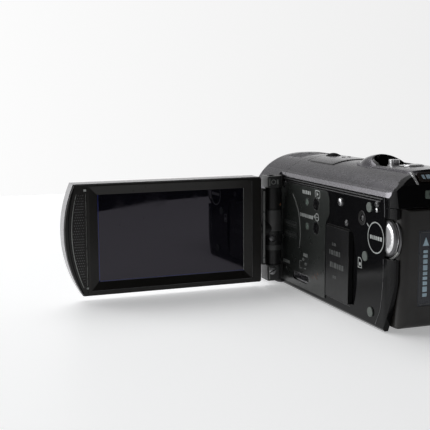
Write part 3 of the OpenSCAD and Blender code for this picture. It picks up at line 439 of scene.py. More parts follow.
def piece(name, bm, body, finish, smooth=35, soften=0.0, steps=2):
    """Turns a mesh in millimetres into a piece that rides on a CAD body."""
    bmesh.ops.remove_doubles(bm, verts=bm.verts, dist=1e-5)
    bmesh.ops.recalc_face_normals(bm, faces=bm.faces)
    bmesh.ops.scale(bm, vec=(MM, MM, MM), verts=bm.verts)
    mesh = bpy.data.meshes.new(name)
    bm.to_mesh(mesh)
    bm.free()
    mesh.polygons.foreach_set("use_smooth", [True] * len(mesh.polygons))
    mesh.set_sharp_from_angle(angle=math.radians(smooth))
    obj = bpy.data.objects.new(name, mesh)
    scene.collection.objects.link(obj)
    if soften:
        rounding = obj.modifiers.new("soften", "BEVEL")
        rounding.width = soften * MM
        rounding.segments = steps
        rounding.limit_method = "ANGLE"
        rounding.angle_limit = math.radians(35)
        rounding.harden_normals = True
    paint(obj, finish)
    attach(obj, body)
    return obj


def along(axis, at):
    """Places a lathe whose height runs along an axis, given as a vector."""
    return Matrix.Translation(Vector(at)) @ Vector(axis).to_track_quat("Z", "Y").to_matrix().to_4x4()


# ---- printed marks and small trim -----------------------------------------------

def ribbon(bm, axis, path, width, start, end):
    """Flat line along a drawn path; width is a number or a function of the share of the path."""
    size = width if callable(width) else (lambda share: width)
    rings = []
    count = len(path)
    for i, (u, v) in enumerate(path):
        before, after = path[max(0, i - 1)], path[min(count - 1, i + 1)]
        du, dv = after[0] - before[0], after[1] - before[1]
        length = math.hypot(du, dv)
        half = size(i / (count - 1)) / 2
        nu, nv = -dv / length * half, du / length * half
        rings.append([bm.verts.new(point(axis, *corner)) for corner in (
            (u + nu, v + nv, start), (u - nu, v - nv, start), (u - nu, v - nv, end), (u + nu, v + nv, end))])
    for a, b in zip(rings, rings[1:]):
        for k in range(4):
            bm.faces.new((a[k], a[(k + 1) % 4], b[(k + 1) % 4], b[k]))
    bm.faces.new(rings[0])
    bm.faces.new(rings[-1])


def dashes(bm, axis, u0, u1, v0, v1, count, start, end, seed):
    """A row of plain bars of uneven length that stands in for a word."""
    rnd = random.Random(seed)
    lengths = [0.6 + rnd.random() for _ in range(count)]
    unit = (u1 - u0) / (sum(lengths) + 0.45 * (count - 1))
    u = u0
    for length in lengths:
        prism(bm, axis, pill(u, v0, u + length * unit, v1, 0.12, 2), start, end)
        u += (length + 0.45) * unit


def marks(name, body, finish, draw):
    """One piece that a drawing function fills."""
    bm = bmesh.new()
    draw(bm)
    return piece(name, bm, body, finish)


INK = 0.05                                   # thickness of printed marks


def bay_prints():
    """Labels and pictograms beside the buttons, all of them generic."""
    top, base = PLATE_X - INK, PLATE_X

    def labels(bm):
        dashes(bm, "x", 3.6, 11.6, 44.7, 46.3, 5, top, base, 1)
        dashes(bm, "x", 1.2, 13.8, 34.4, 36.0, 8, top, base, 2)
        dashes(bm, "x", 24.7, 31.6, 10.8, 12.3, 5, top, base, 3)
        dashes(bm, "x", 6.2, 10.2, 16.9, 18.4, 3, top, base, 4)
        prism(bm, "x", pill(27.9, 8.1, 28.3, 9.0, 0.1, 2), top, base)

    def icons(bm):
        prism(bm, "x", pill(-5.4, 44.1, -0.7, 47.5, 0.9, 5), top, base, pill(-5.0, 44.5, -1.1, 47.1, 0.6, 5))
        prism(bm, "x", [(-2.2, 44.8), (-2.2, 46.8), (-4.0, 45.8)], top, base)
        prism(bm, "x", arc((-2.7, 35.9), 1.75, 0, 350, 35), top, base, arc((-2.7, 35.9), 1.35, 0, 350, 35))
        prism(bm, "x", [(-0.6, 35.0), (-0.6, 36.8), (0.5, 35.9)], top, base)
        ribbon(bm, "x", [(-3.6, 35.9), (-1.9, 35.9)], 0.35, top, base)
        for z in (11.2, 14.4):
            ribbon(bm, "x", [(12.0, z), (14.0, z)], 0.3, top, base)
        ribbon(bm, "x", [(14.0, 11.2), (14.0, 14.4)], 0.3, top, base)
        for y, z in ((9.6, 15.0), (7.2, 13.2)):
            prism(bm, "x", pill(y, z, y + 1.6, z + 1.0, 0.2, 2), top, base,
                  pill(y + 0.25, z + 0.25, y + 1.35, z + 0.75, 0.1, 2))
        ribbon(bm, "x", [(9.2, 11.6), (7.8, 11.6)], 0.35, top, base)

    def faint(bm):
        for z in (28.2, 23.4):
            prism(bm, "x", pill(17.6, z, 30.6, z + 2.7, 0.4, 3), top, base,
                  pill(17.9, z + 0.3, 30.3, z + 2.4, 0.3, 3))
            dashes(bm, "x", 18.6, 29.6, z + 0.8, z + 1.9, 6, top, base, int(z))

    def orange(bm):
        for y, z in ((-4.4, 11.2), (-2.0, 10.0), (0.2, 8.7), (-3.4, 9.2)):
            ribbon(bm, "x", [(y, z), (y + 1.2, z + 0.8)], 0.4, top, base)

    marks("bay_labels", "root", "print_white", labels)
    marks("bay_icons", "root", "print_white", icons)
    marks("bay_block", "root", "print_grey", faint)
    marks("bay_orange", "root", "print_orange", orange)


def wall_prints():
    """Dial symbol, card symbol and the bright lines on the wall behind the display."""
    top, base = WALL_X - INK, WALL_X

    def dial_mark(bm):
        centre = (-51.1, 34.6)
        prism(bm, "x", arc(centre, 6.0, 2, 362, 60), top, base, arc(centre, 5.55, 2, 362, 60))
        ribbon(bm, "x", [(-45.9, 38.2), (-44.4, 39.2)], 0.5, top, base)
        dashes(bm, "x", -55.6, -46.9, 33.8, 35.3, 6, top, base, 6)

    def card_mark(bm):
        outer = [(-40.9, 21.0), (-38.0, 21.0), (-38.0, 25.1), (-40.0, 25.1), (-40.9, 24.2)]
        inner = [(-40.6, 21.3), (-38.3, 21.3), (-38.3, 24.8), (-39.9, 24.8), (-40.6, 24.1)]
        prism(bm, "x", outer, top, base, inner)
        prism(bm, "x", pill(-40.1, 21.9, -38.8, 23.2, 0.2, 2), top, base)

    def trim(bm):
        ribbon(bm, "x", [(-56.7, 50.0), (-57.0, 47.6), (-57.2, 44.6), (-57.2, 43.2)], 0.4, WALL_X - 0.1, base)
        lower = arc_through((-56.8, 27.6), (-56.9, 20), (-55.3, 7.9), 12) + [(-51.8, 1.4)]
        ribbon(bm, "x", lower, 0.2, WALL_X - 0.08, base)

    marks("dial_symbol", "root", "print_white", dial_mark)
    marks("card_symbol", "root", "print_white", card_mark)
    marks("rear_line", "root", "edge_mid", trim)


def door_prints():
    """Finger recess lines and marks on the card door."""
    face = low("card_door").x
    top = face - INK

    def draw(bm):
        dashes(bm, "x", -21.4, -18.3, 26.5, 27.7, 2, top, face, 7)
        dashes(bm, "x", -25.2, -15.9, 22.6, 24.6, 5, top, face, 8)
        dashes(bm, "x", -28.1, -16.5, 17.4, 19.6, 6, top, face, 9)
        dashes(bm, "x", -21.8, -19.1, 13.0, 14.2, 2, top, face, 10)

    marks("door_marks", "card_door", "print_grey", draw)


def bay_ridge():
    """Curved ridge on the satin plate, painted light grey as the highlight along it."""
    path = (arc_through((22.1, 43.5), (18.3, 40), (15.3, 35.5), 10)
            + arc_through((15.0, 34.8), (13.7, 27.5), (14.6, 19.7), 16))
    bm = bmesh.new()
    ribbon(bm, "x", path, lambda share: 0.15 + 0.8 * math.sin(math.pi * share) ** 0.8,
           PLATE_X - 0.14, PLATE_X)
    piece("bay_ridge", bm, "root", "edge_light", soften=0.05)


def wall_beads():
    """Two thin beads under the edge of the top cover."""
    bm = bmesh.new()
    for z, proud, rear in ((49.55, 0.26, -55.5), (48.55, 0.14, -54.0)):
        section = arc((0, 0), 0.34, 0, 330, 11)
        sweep(bm, [Vector((WALL_X - proud + 0.34, y, z)) for y in (rear, -20, 10, 33.2)],
              lambda i, section=section: section)
    piece("wall_beads", bm, "root", "edge_dark")


def wall_screws():
    """Bright steel heads on two of the wall's screws, a painted highlight that the other identical screws
    lack, and the dark collar of a third: painted shade of the recess round it, with a painted highlight on
    one side of its rim.
    """
    caps, collar, rim = bmesh.new(), bmesh.new(), bmesh.new()
    # painted highlights: two of the identical screws get bright steel heads
    for (y, z), reach in (((-23.3, 44.9), 1.55), ((-52.2, 45.2), 0.9)):
        lathe(caps, [(reach, -0.4), (reach, 0.05), (reach - 0.3, 0.25), (0, 0.32)],
              along((-1, 0, 0), (WALL_X - 0.55, y, z)), 24)
    at = along((-1, 0, 0), (WALL_X, -40.5, 40.7))
    # painted shade: a dark ring for the shaded recess round the screw
    lathe(collar, [(2.9, -0.1), (2.7, 0.14), (1.5, 0.06), (1.4, -0.1)], at, 36)
    # painted highlight on the lit side of the recess's rim
    prism(rim, "x", arc((-40.5, 40.7), 2.75, 120, 245, 24), WALL_X - 0.2, WALL_X - 0.05,
          arc((-40.5, 40.7), 2.6, 120, 245, 24))
    piece("screw_heads", caps, "root", "steel")
    piece("screw_collar", collar, "root", "black_matte")
    piece("screw_collar_highlight", rim, "root", "edge_mid")


def door_gap():
    """Dark joint round the memory card door, with a painted highlight along the edge beside it."""
    lo, hi = low("card_door"), high("card_door")
    bm, edge = bmesh.new(), bmesh.new()
    front, base = hi.y + 0.35, lo.z - 0.35
    ribbon(bm, "x", [(front, hi.z + 0.3), (front, base)], 0.6, WALL_X - 0.06, WALL_X)
    ribbon(bm, "x", [(front, base), (lo.y, base)], 0.6, WALL_X - 0.06, WALL_X)
    ribbon(bm, "x", [(front, hi.z + 0.35), (lo.y + 1, hi.z + 0.35)], 0.4, WALL_X - 0.06, WALL_X)
    # painted highlight along the door's edges
    ribbon(edge, "x", [(front + 0.45, hi.z), (front + 0.45, base - 0.4)], 0.14, PLATE_X - 0.05, WALL_X)
    ribbon(edge, "x", [(front, base - 0.5), (lo.y, base - 0.5)], 0.14, WALL_X - 0.08, WALL_X)
    piece("door_gap", bm, "root", "black_matte")
    piece("door_gap_highlight", edge, "root", "edge_mid")


def button_rings():
    """A thin moulded lip round each of the four buttons on the bay wall."""
    bm = bmesh.new()
    for name in ("play_button", "display_button", "power_button", "infrared_button"):
        at = mid(name)
        reach = 3.15 if name in ("play_button", "display_button") else 1.8
        turn = along((-1, 0, 0), (PLATE_X, at.y, at.z))
        lathe(bm, [(reach - 0.45, 0), (reach - 0.35, 0.16), (reach - 0.1, 0.16), (reach + 0.1, 0)], turn, 40)
    piece("button_rings", bm, "root", "plate_satin")


# ---- hinge --------------------------------------------------------------------

def hinge_details():
    """Strip, edges, screws and slots of the display hinge; the light strip and the light edge marks are
    painted highlights.
    """
    block_lo, block_hi = low("hinge_bracket"), high("hinge_bracket")
    barrel_lo, barrel_hi = low("hinge_barrel"), high("hinge_barrel")
    axis_x, axis_y = -28.4, 30.0             # the hinge pin's axis
    near = block_lo.y

    def strip(bm):
        x = barrel_lo.x
        prism(bm, "y", pill(x + 0.05, barrel_lo.z + 1.2, x + 0.85, barrel_hi.z - 1.2, 0.3, 3),
              barrel_lo.y - 0.06, barrel_lo.y + 0.3)

    def edges(bm):
        for z0, z1 in ((block_lo.z + 0.7, barrel_lo.z - 0.9), (barrel_hi.z + 0.9, block_hi.z - 0.8)):
            ribbon(bm, "y", [(block_lo.x + 0.75, z0), (block_lo.x + 0.75, z1)], 0.4, near - 0.06, near)
        middle = (block_hi.z + barrel_hi.z) / 2
        prism(bm, "y", arc((axis_x - 1.6, middle), 1.15, 0, 345, 23), near - 0.08, near,
              arc((axis_x - 1.6, middle), 0.8, 0, 345, 23))
        prism(bm, "y", pill(axis_x + 0.1, middle - 1.1, axis_x + 0.8, middle + 1.1, 0.2, 3),
              near - 0.08, near)

    def screw(bm):
        at = (axis_x - 1.9, near - 0.05, 7.9)
        turn = along((0, -1, 0), at)
        lathe(bm, [(1.75, -0.5), (1.75, -0.1), (1.5, 0.12), (0, 0.2)], turn, 32)

    def slots(bm):
        prism(bm, "y", [(axis_x - 3.4, 7.3), (axis_x - 3.1, 7.0), (axis_x - 0.4, 8.5), (axis_x - 0.7, 8.8)],
              near - 0.3, near - 0.1)

    def sleeve(bm):
        reach = (barrel_hi.y - barrel_lo.y) / 2 - 0.1
        outline = arc((axis_x, axis_y), reach + 0.12, 172, 352, 40)
        inner = arc((axis_x, axis_y), reach - 0.3, 172, 352, 40)
        prism(bm, "z", outline + inner[::-1], 26.2, 35.6)
        prism(bm, "z", outline + inner[::-1], 17.4, 19.6)

    def sleeve_screw(bm):
        lathe(bm, [(1.35, -0.6), (1.35, 0.3), (1.0, 0.55), (0.3, 0.62), (0.25, 0.45), (0, 0.45)],
              along((0, -1, 0), (axis_x - 1.9, axis_y - 3.3, 22.9)), 28)

    def rivet(bm):
        way = Vector((0.62, -0.78, 0))
        lathe(bm, [(0.75, -0.3), (0.75, 0.05), (0.45, 0.14), (0, 0.14)],
              along(way, Vector((axis_x, axis_y, 38.2)) + way * 3.9), 20)

    # painted highlights on the lit edges of the barrel's carrier and of the blocks
    marks("hinge_strip", "hinge", "edge_light", strip)
    marks("hinge_edges", "root", "edge_light", edges)
    marks("hinge_screw", "root", "steel", screw)
    marks("hinge_screw_slot", "root", "black_matte", slots)
    marks("hinge_sleeve", "hinge", "hinge_metal", sleeve)
    marks("hinge_sleeve_screw", "hinge", "edge_mid", sleeve_screw)
    marks("hinge_rivet", "hinge", "copper", rivet)


# ---- display panel --------------------------------------------------------------

def panel_details():
    """Dimples, lines and marks on the bezel, and the edges and dust of the glass; the light lines on the
    bezel and the bright edge of the glass are painted highlights.
    """
    lo, hi = low("panel_bezel"), high("panel_bezel")
    y = BEZEL_Y
    glass_lo, glass_hi = low("display_glass"), high("display_glass")
    end = arc_through((-120.5, hi.z - 1.0), (-123.2, 27.5), (-117.6, lo.z + 1.2), 30)
    line = arc_through((-119.6, 47.2), (-121.9, 30.5), (-117.4, 7.4), 30)

    def dimples(bm):
        for row in range(34):
            z = 8.6 + row * 1.15
            reach = -121.9 + abs(z - 29.5) ** 2 * 0.0065 + 0.8
            for column in range(6):
                x = -116.4 - column * 0.85 - (0.42 if row % 2 else 0)
                if x > reach:
                    lathe(bm, [(0.26, -0.05), (0.2, 0.1), (0, 0.14)], along((0, -1, 0), (x, y + 0.4, z)), 8)

    def light_lines(bm):
        # painted highlights along the edge of the grille's recess and the edge of the groove
        ribbon(bm, "y", line, lambda share: 0.16 + 0.12 * math.sin(math.pi * share), y - 0.05, y + 0.42)
        ribbon(bm, "y", [(-115.75, 8.0), (-115.75, 47.6)], 0.1, y - 0.04, y + 0.1)

    def frame_lines(bm):
        near = [(glass_hi.x + 3.45, glass_hi.z + 3.2), (glass_hi.x + 3.75, glass_lo.z - 3.1)]
        below = [(glass_lo.x - 3.2, glass_lo.z - 3.5), (glass_hi.x + 3.3, glass_lo.z - 3.5)]
        ribbon(bm, "y", near, 0.14, y - 0.03, y)
        ribbon(bm, "y", below, 0.12, y - 0.03, y)

    def glow(bm):
        face = SCREEN_Y - 0.02
        x, z = glass_lo.x + 0.35, glass_lo.z + 0.3
        ribbon(bm, "y", [(x, glass_lo.z), (x, glass_hi.z)], 0.5, face, SCREEN_Y)
        ribbon(bm, "y", [(glass_lo.x, z), (glass_hi.x, z)], 0.45, face, SCREEN_Y)

    def bright_edge(bm):
        # painted highlight along one edge of the glass
        ribbon(bm, "y", [(glass_hi.x - 0.1, glass_lo.z + 0.4), (glass_hi.x - 0.1, glass_hi.z)], 0.22,
               SCREEN_Y - 0.03, SCREEN_Y)

    def square(bm):
        prism(bm, "y", pill(-116.6, 48.2, -115.4, 49.2, 0.15, 2), y - 0.04, y)
        prism(bm, "y", pill(-116.2, 6.6, -115.3, 7.4, 0.15, 2), y - 0.04, y)

    def specks(bm):
        rnd = random.Random(12)
        for _ in range(16):
            x = rnd.uniform(glass_lo.x + 8, glass_hi.x - 14)
            z = rnd.uniform(glass_lo.z + 4, glass_hi.z - 6)
            size = rnd.uniform(0.12, 0.4)
            prism(bm, "y", [(x, z), (x + size, z + size * 0.3), (x + size * 0.7, z + size),
                            (x - size * 0.2, z + size * 0.6)], SCREEN_Y - 0.02, SCREEN_Y)

    marks("panel_dimples", "panel", "edge_mid", dimples)
    marks("panel_lines", "panel", "edge_light", light_lines)
    marks("panel_frame_lines", "panel", "edge_mid", frame_lines)
    marks("glass_bright_edge", "panel", "edge_light", bright_edge)
    marks("glass_edge", "panel", "glow_navy", glow)
    marks("panel_mark", "panel", "print_white", square)
    marks("screen_specks", "panel", "black_matte", specks)
    band = bmesh.new()
    ribbon(band, "y", end, 0.5, y - 0.06, y + 0.05)
    piece("panel_end_band", band, "panel", "black_gloss", soften=0.04)


def panel_back():
    """A bright inlaid line on the outer face of the display."""
    lo, hi = low("panel_shell"), high("panel_shell")
    back = hi.y
    bm = bmesh.new()
    path = arc_through((lo.x + 9.0, hi.z - 2.4), (lo.x + 5.0, (lo.z + hi.z) / 2),
                       (lo.x + 10.5, lo.z + 2.4), 24)
    ribbon(bm, "y", path, 0.55, back, back + 0.1)
    ribbon(bm, "y", [(lo.x + 10.2, lo.z + 2.4), (hi.x - 4, lo.z + 2.4)], 0.3, back, back + 0.07)
    piece("panel_back_line", bm, "panel", "edge_light", soften=0.03)


# ---- top and rear ---------------------------------------------------------------

def top_details():
    """Ring and surround of the photo button, and the marks and joint of the shoe flap."""
    flap_top = high("shoe_cover").z
    ring_at = mid("photo_button")

    def ring(bm):
        u, v = ring_at.x, ring_at.y
        base, crown = high("photo_button").z - 2.6, high("photo_button").z - 0.1
        rims = [(4.25, 3.48, base), (4.25, 3.48, crown - 0.35), (4.0, 3.2, crown), (3.6, 2.85, crown),
                (3.25, 2.55, crown - 0.4), (3.25, 2.55, base)]
        loops = []
        for half_x, half_y, z in rims:
            outline = pill(u - half_x, v - half_y, u + half_x, v + half_y, min(half_x, half_y) - 0.1, 9)
            loops.append([bm.verts.new((a, b, z)) for a, b in outline])
        for a, b in zip(loops, loops[1:] + loops[:1]):
            for k in range(len(a)):
                bm.faces.new((a[k], a[(k + 1) % len(a)], b[(k + 1) % len(a)], b[k]))

    def flap_marks(bm):
        for x, y in ((-0.7, 14.8), (2.3, 15.3)):
            prism(bm, "z", pill(x - 0.9, y - 0.25, x + 0.9, y + 0.25, 0.2, 3),
                  flap_top - 0.1, flap_top + 0.16)

    def flap_joint(bm):
        flap_lo, flap_hi = low("shoe_cover"), high("shoe_cover")

        def crest(x, y):
            rise = flap_top - BODY_Z
            share = (1 - (abs(x) / CREST_HALF) ** CREST_POWER) ** (1 / CREST_POWER)
            return Vector((x, y, BODY_Z + rise * share))

        left, right = flap_lo.x - 0.25, flap_hi.x - 0.5
        side_end, count, side_count = 22.0, 14, 6
        rear = [crest(right + (left - right) * i / count, flap_lo.y - 0.3) for i in range(count + 1)]
        side = [crest(left, flap_lo.y + (side_end - flap_lo.y) * i / side_count)
                for i in range(1, side_count + 1)]
        bead = arc((0, 0), 0.3, 0, 315, 8)
        sweep(bm, rear + side, lambda i: bead)

    def surround(bm):
        u, v = ring_at.x, ring_at.y
        deck_top = high("photo_button").z - 0.55
        prism(bm, "z", pill(u - 5.0, v - 3.9, u + 4.8, v + 5.6, 3.6, 8), deck_top - 0.3, deck_top,
              pill(u - 4.3, v - 3.5, u + 4.3, v + 3.5, 3.3, 8))

    marks("flap_joint", "root", "black_matte", flap_joint)
    marks("photo_surround", "root", "black_gloss", surround)
    marks("photo_ring", "root", "chrome_trim", ring)
    marks("flap_marks", "shoe_flap", "black_satin", flap_marks)


def rear_details():
    """Plain bars for the rear labels, and small symbols on the lamps."""
    slope = math.atan2(5.1, 5.5)
    place = Matrix.Translation((-4, -60.6, 57.4)) @ Matrix.Rotation(slope, 4, "X")

    def mode_bars(bm):
        dashes(bm, "z", -5.0, 3.4, -1.0, 1.0, 4, 0.6, 0.66, 21)
        bm.transform(place)

    lamp_mid = mid("mode_lamps")
    face = low("mode_lamps")

    def lamp_icons(bm):
        for side in (-1, 1):
            x = lamp_mid.x + side * 2.5
            prism(bm, "y", pill(x - 1.0, lamp_mid.z - 0.6, x + 1.0, lamp_mid.z + 0.6, 0.25, 3), face.y - 0.04,
                  face.y + 0.5, pill(x - 0.7, lamp_mid.z - 0.3, x + 0.7, lamp_mid.z + 0.3, 0.15, 3))

    marks("mode_bars", "mode_button", "print_blue", mode_bars)
    marks("lamp_icons", "root", "print_grey", lamp_icons)


def battery_details():
    """Plain bars and lines that stand in for the battery's printing."""
    lo, hi = low("battery_label"), high("battery_label")
    face = lo.y

    def bars(bm):
        rnd = random.Random(31)
        z = hi.z - 7.2
        while z > lo.z + 3.2:
            length = rnd.uniform(1.1, 2.3)
            prism(bm, "y", pill(lo.x + 2.0, z - length, lo.x + 3.9, z, 0.15, 2), face - INK, face)
            z -= length + 0.55
        prism(bm, "y", [(lo.x + 1.7, hi.z - 5.6), (lo.x + 4.3, hi.z - 5.6), (lo.x + 3.0, hi.z - 2.4)],
              face - INK, face)

    def fine_lines(bm):
        rnd = random.Random(32)
        for column in range(7):
            x = lo.x + 6.2 + column * 1.35
            ribbon(bm, "y", [(x, hi.z - 2.6), (x, hi.z - 2.6 - rnd.uniform(12, 21))], 0.34, face - INK, face)
        prism(bm, "y", pill(lo.x + 0.5, lo.z + 0.5, hi.x - 0.5, hi.z - 0.5, 0.8, 4), face - INK, face,
              pill(lo.x + 0.68, lo.z + 0.68, hi.x - 0.68, hi.z - 0.68, 0.65, 4))

    marks("battery_bars", "battery", "print_blue", bars)
    marks("battery_lines", "battery", "print_grey", fine_lines)


def dial_details():
    """Grey moulded rim behind the chrome dial, painted lighter grey as a highlight on the side that catches
    light; its bright foot, a painted highlight below the dial; and the dial's duller outer band.
    """
    at = mid("thumb_dial")
    bm, foot, band = bmesh.new(), bmesh.new(), bmesh.new()
    # painted highlight on the moulding below the dial
    ribbon(foot, "x", arc((at.y, at.z), 7.9, 212, 262, 12), 0.9, high("thumb_dial").x - 0.6,
           high("thumb_dial").x + 0.4)
    piece("dial_foot_highlight", foot, "root", "edge_light", soften=0.2)
    lathe(band, [(7.02, -0.4), (7.02, 0.15), (6.6, 0.62), (6.1, 0.86), (6.05, 0.5)],
          along((-1, 0, 0), (at.x, at.y, at.z)), 72)
    piece("dial_band", band, "thumb_dial", "edge_mid")
    # painted highlight: the rim is drawn lighter on its lit side only
    rear = arc((at.y, at.z), 7.75, 128, 232, 22)
    ribbon(bm, "x", rear, 0.7, high("thumb_dial").x - 0.2, high("thumb_dial").x + 0.5)
    piece("dial_rim", bm, "root", "edge_mid", soften=0.15)


# ---- soft grip strap ------------------------------------------------------------

def strap_path(share, lift=0.0):
    """Middle line of the strap from the rear lug to the front lug, with the direction that points away."""
    lo, hi = low("grip_strap"), high("grip_strap")
    half = (hi.y - lo.y) / 2
    bow = hi.x - 1.4 - (lo.x + 0.6)
    turn = (half * half + bow * bow) / (2 * bow)
    reach = math.asin(half / turn)
    angle = (share * 2 - 1) * reach
    away = Vector((math.cos(angle), math.sin(angle), 0))
    centre = Vector((hi.x - 1.4 - turn, (lo.y + hi.y) / 2, (lo.z + hi.z) / 2))
    return centre + away * (turn + lift), away


def make_strap():
    """Padded woven strap: a quilted pad towards the hand, webbing on the outside, stitches and end loops."""
    half_w = 8.6
    rows, across = 96, 28
    rnd = random.Random(5)
    waves = [(rnd.uniform(5, 15), rnd.uniform(0, 6.3), rnd.uniform(2, 5)) for _ in range(5)]
    bm = bmesh.new()

    def side(outward):
        grid = []
        for i in range(rows + 1):
            share = i / rows
            ends = min(1.0, min(share, 1 - share) / 0.09)
            width = half_w - 1.4 * (1 - ends)
            row = []
            for k in range(across + 1):
                v = (k / across * 2 - 1)
                edge = max(0.0, 1 - abs(v) ** 5)
                crease = sum(math.sin(f * share * 6.3 + p + v * q) for f, p, q in waves) * 0.045 * ends
                if outward:
                    thick = 0.85 + 0.25 * edge + crease
                    thick -= 0.28 * math.exp(-((abs(v) - 0.84) / 0.045) ** 2)
                else:
                    quilt = 0.5 + 0.5 * math.cos(share * 6.28 * 7)
                    thick = -(0.7 + (1.3 + 0.45 * quilt ** 0.5) * edge * ends + crease)
                    thick += 0.5 * math.exp(-((abs(v) - 0.84) / 0.06) ** 2) * ends
                spot = strap_path(share, thick)[0]
                row.append(bm.verts.new(spot + Vector((0, 0, v * width))))
            grid.append(row)
        return grid

    outer, inner = side(True), side(False)
    for grid in (outer, inner):
        for a, b in zip(grid, grid[1:]):
            for k in range(across):
                bm.faces.new((a[k], a[k + 1], b[k + 1], b[k]))
    for k in (0, across):
        for i in range(rows):
            bm.faces.new((outer[i][k], outer[i + 1][k], inner[i + 1][k], inner[i][k]))
    for i in (0, rows):
        for k in range(across):
            bm.faces.new((outer[i][k], outer[i][k + 1], inner[i][k + 1], inner[i][k]))
    band = piece("strap_band", bm, "root", "strap", smooth=60)
    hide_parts("grip_strap")

    thread = bmesh.new()
    for v in (-7.25, 7.25):
        for i in range(54):
            start, end = 0.06 + i * 0.0163, 0.06 + i * 0.0163 + 0.0105
            path = [strap_path(start + (end - start) * s, 0.72 + 0.28 * math.sin(math.pi * s))[0]
                    + Vector((0, 0, v)) for s in (0, 0.3, 0.7, 1)]
            tube(thread, path, 0.16, 6)
    for share in (0.085, 0.915):
        for i in range(12):
            spot, away = strap_path(share, 1.12)
            ahead = Vector((-away.y, away.x, 0))
            z = -6 + i * 12 / 11
            tube(thread, [spot + ahead * s + Vector((0, 0, z)) + away * lift for s, lift in
                          ((-0.45, -0.3), (-0.2, 0.05), (0.2, 0.05), (0.45, -0.3))], 0.16, 6)
    piece("strap_stitches", thread, "root", "thread")

    tab = bmesh.new()
    path = [strap_path(0.40 + 0.22 * i / 14, 1.35 + 0.1 * math.sin(i * 0.9))[0] for i in range(15)]
    sweep(tab, path, lambda i: pill_section(0.34, 7.3))
    piece("strap_tab", tab, "root", "strap", smooth=50)


def pill_section(half_thick, half_wide):
    """Section of a flat band with rounded edges."""
    return [(u, v) for u, v in pill(-half_thick, -half_wide, half_thick, half_wide, half_thick * 0.8, 3)]


# ---- front, grip side and base ----------------------------------------------------

def front_details():
    """Filter thread, line round the lens and ridges of the flash window."""
    ring_lo, ring_hi = low("lens_ring"), high("lens_ring")
    centre = Vector((0, 0, LENS_Z))

    def thread(bm):
        for i in range(6):
            y = ring_lo.y + 2.9 + i * 0.5
            if y < ring_hi.y - 0.4:
                path = [centre + Vector((18.48 * math.cos(a), y, 18.48 * math.sin(a)))
                        for a in (2 * math.pi * k / 72 for k in range(72))]
                tube(bm, path, 0.16, 6, closed=True)

    def bright_line(bm):
        lathe(bm, [(20.5, 0), (20.5, 0.12), (21.0, 0.16), (21.2, 0)],
              along((0, 1, 0), (0, ring_hi.y - 0.16, LENS_Z)), 96)

    def ridges(bm):
        lo, hi = low("flash_window"), high("flash_window")
        for i in range(9):
            x = lo.x + 1.6 + i * (hi.x - lo.x - 3.2) / 8
            tube(bm, [(x, hi.y - 0.02, lo.z + 0.9), (x, hi.y - 0.02, hi.z - 0.9)], 0.16, 6)

    marks("filter_thread", "root", "black_satin", thread)
    marks("lens_line", "root", "edge_mid", bright_line)
    marks("flash_ridges", "root", "window_clear", ridges)


def side_details():
    """Mark on the jack cover and red dot on the record button."""
    turn = math.radians(30)
    outward = Vector((math.cos(turn), 0, -math.sin(turn)))
    down = Vector((-math.sin(turn), 0, -math.cos(turn)))
    foot = Vector((CREST_HALF * math.cos(turn) - 0.75, -24, BODY_Z - CREST_HALF / 2 - 1.3))

    def on_cover(bm):
        place = Matrix((Vector((0, 1, 0)), -down, outward)).transposed().to_4x4()
        place.translation = foot
        bm.transform(place)

    def plug(bm):
        prism(bm, "z", arc((14, -5.6), 1.6, 0, 345, 23), 0, 0.06, arc((14, -5.6), 1.25, 0, 345, 23))
        ribbon(bm, "z", [(9.6, -5.6), (12.4, -5.6)], 0.4, 0, 0.06)
        ribbon(bm, "z", [(15.6, -5.6), (18.4, -5.6)], 0.4, 0, 0.06)
        on_cover(bm)

    marks("jack_symbol", "jack_cover", "print_grey", plug)

    way = Vector((math.sin(turn), -math.cos(turn), 0))

    def dot(bm):
        lathe(bm, [(1.7, -0.3), (1.7, 0.03), (1.4, 0.12), (0, 0.16)],
              along(way, mid("record_button") + way * 1.85), 32)

    marks("record_dot", "record_button", "signal_red", dot)


def base_details():
    """Plain label with bars, rubber feet and the tripod socket's thread."""
    def label(bm):
        prism(bm, "z", pill(-13, -24, 9, -13, 1, 4), -0.06, 0.0)

    def bars(bm):
        for i in range(5):
            v = -22.6 + i * 1.9
            dashes(bm, "z", -11.5, 7.5 - (i % 3) * 3, v, -21.8 + i * 1.9, 6, -0.1, -0.06, 40 + i)

    def feet(bm):
        for x, y in ((-15, 15), (8, 15), (-15, -28), (8, -36)):
            lathe(bm, [(2.4, 0), (2.3, 0.12), (1.9, 0.18), (0, 0.18)], along((0, 0, -1), (x, y, 0)), 28)

    marks("base_label", "root", "label_silver", label)
    marks("base_bars", "root", "black_matte", bars)
    marks("base_feet", "root", "pad_rubber", feet)

    bm = bmesh.new()
    for i in range(5):
        z = 1.1 + i * 1.1
        turns = [2 * math.pi * k / 40 for k in range(40)]
        tube(bm, [(3.12 * math.cos(a), 3.12 * math.sin(a), z) for a in turns], 0.14, 6, closed=True)
    piece("tripod_thread", bm, "root", "steel")


# ---- floor, light and camera ----------------------------------------------------

def pale_surface(name, colour, rough):
    """Pale laminate that can't be seen from below, so the base shows."""
    material = bpy.data.materials.new(name)
    material.use_nodes = True
    tree = Tree(material.node_tree)
    place = tree.add("ShaderNodeTexCoord").outputs["Object"]
    cloud = tree.noise(place, 6, 2)
    shade = tree.mix(cloud, rgba(colour, 0.985), rgba(colour))
    shader = tree.add("ShaderNodeBsdfPrincipled", {
        "Base Color": shade, "Roughness": rough, "Specular IOR Level": 0.35, "Emission Color": rgba(colour),
        "Emission Strength": 0.38})
    clear = tree.add("ShaderNodeBsdfTransparent")
    under = tree.add("ShaderNodeNewGeometry").outputs["Backfacing"]
    both = tree.add("ShaderNodeMixShader", {0: under, 1: shader.outputs[0], 2: clear.outputs[0]})
    tree.add("ShaderNodeOutputMaterial", {"Surface": both.outputs[0]})
    return material


FLOOR_GAP = 0.0002                          # metres between the base and the floor


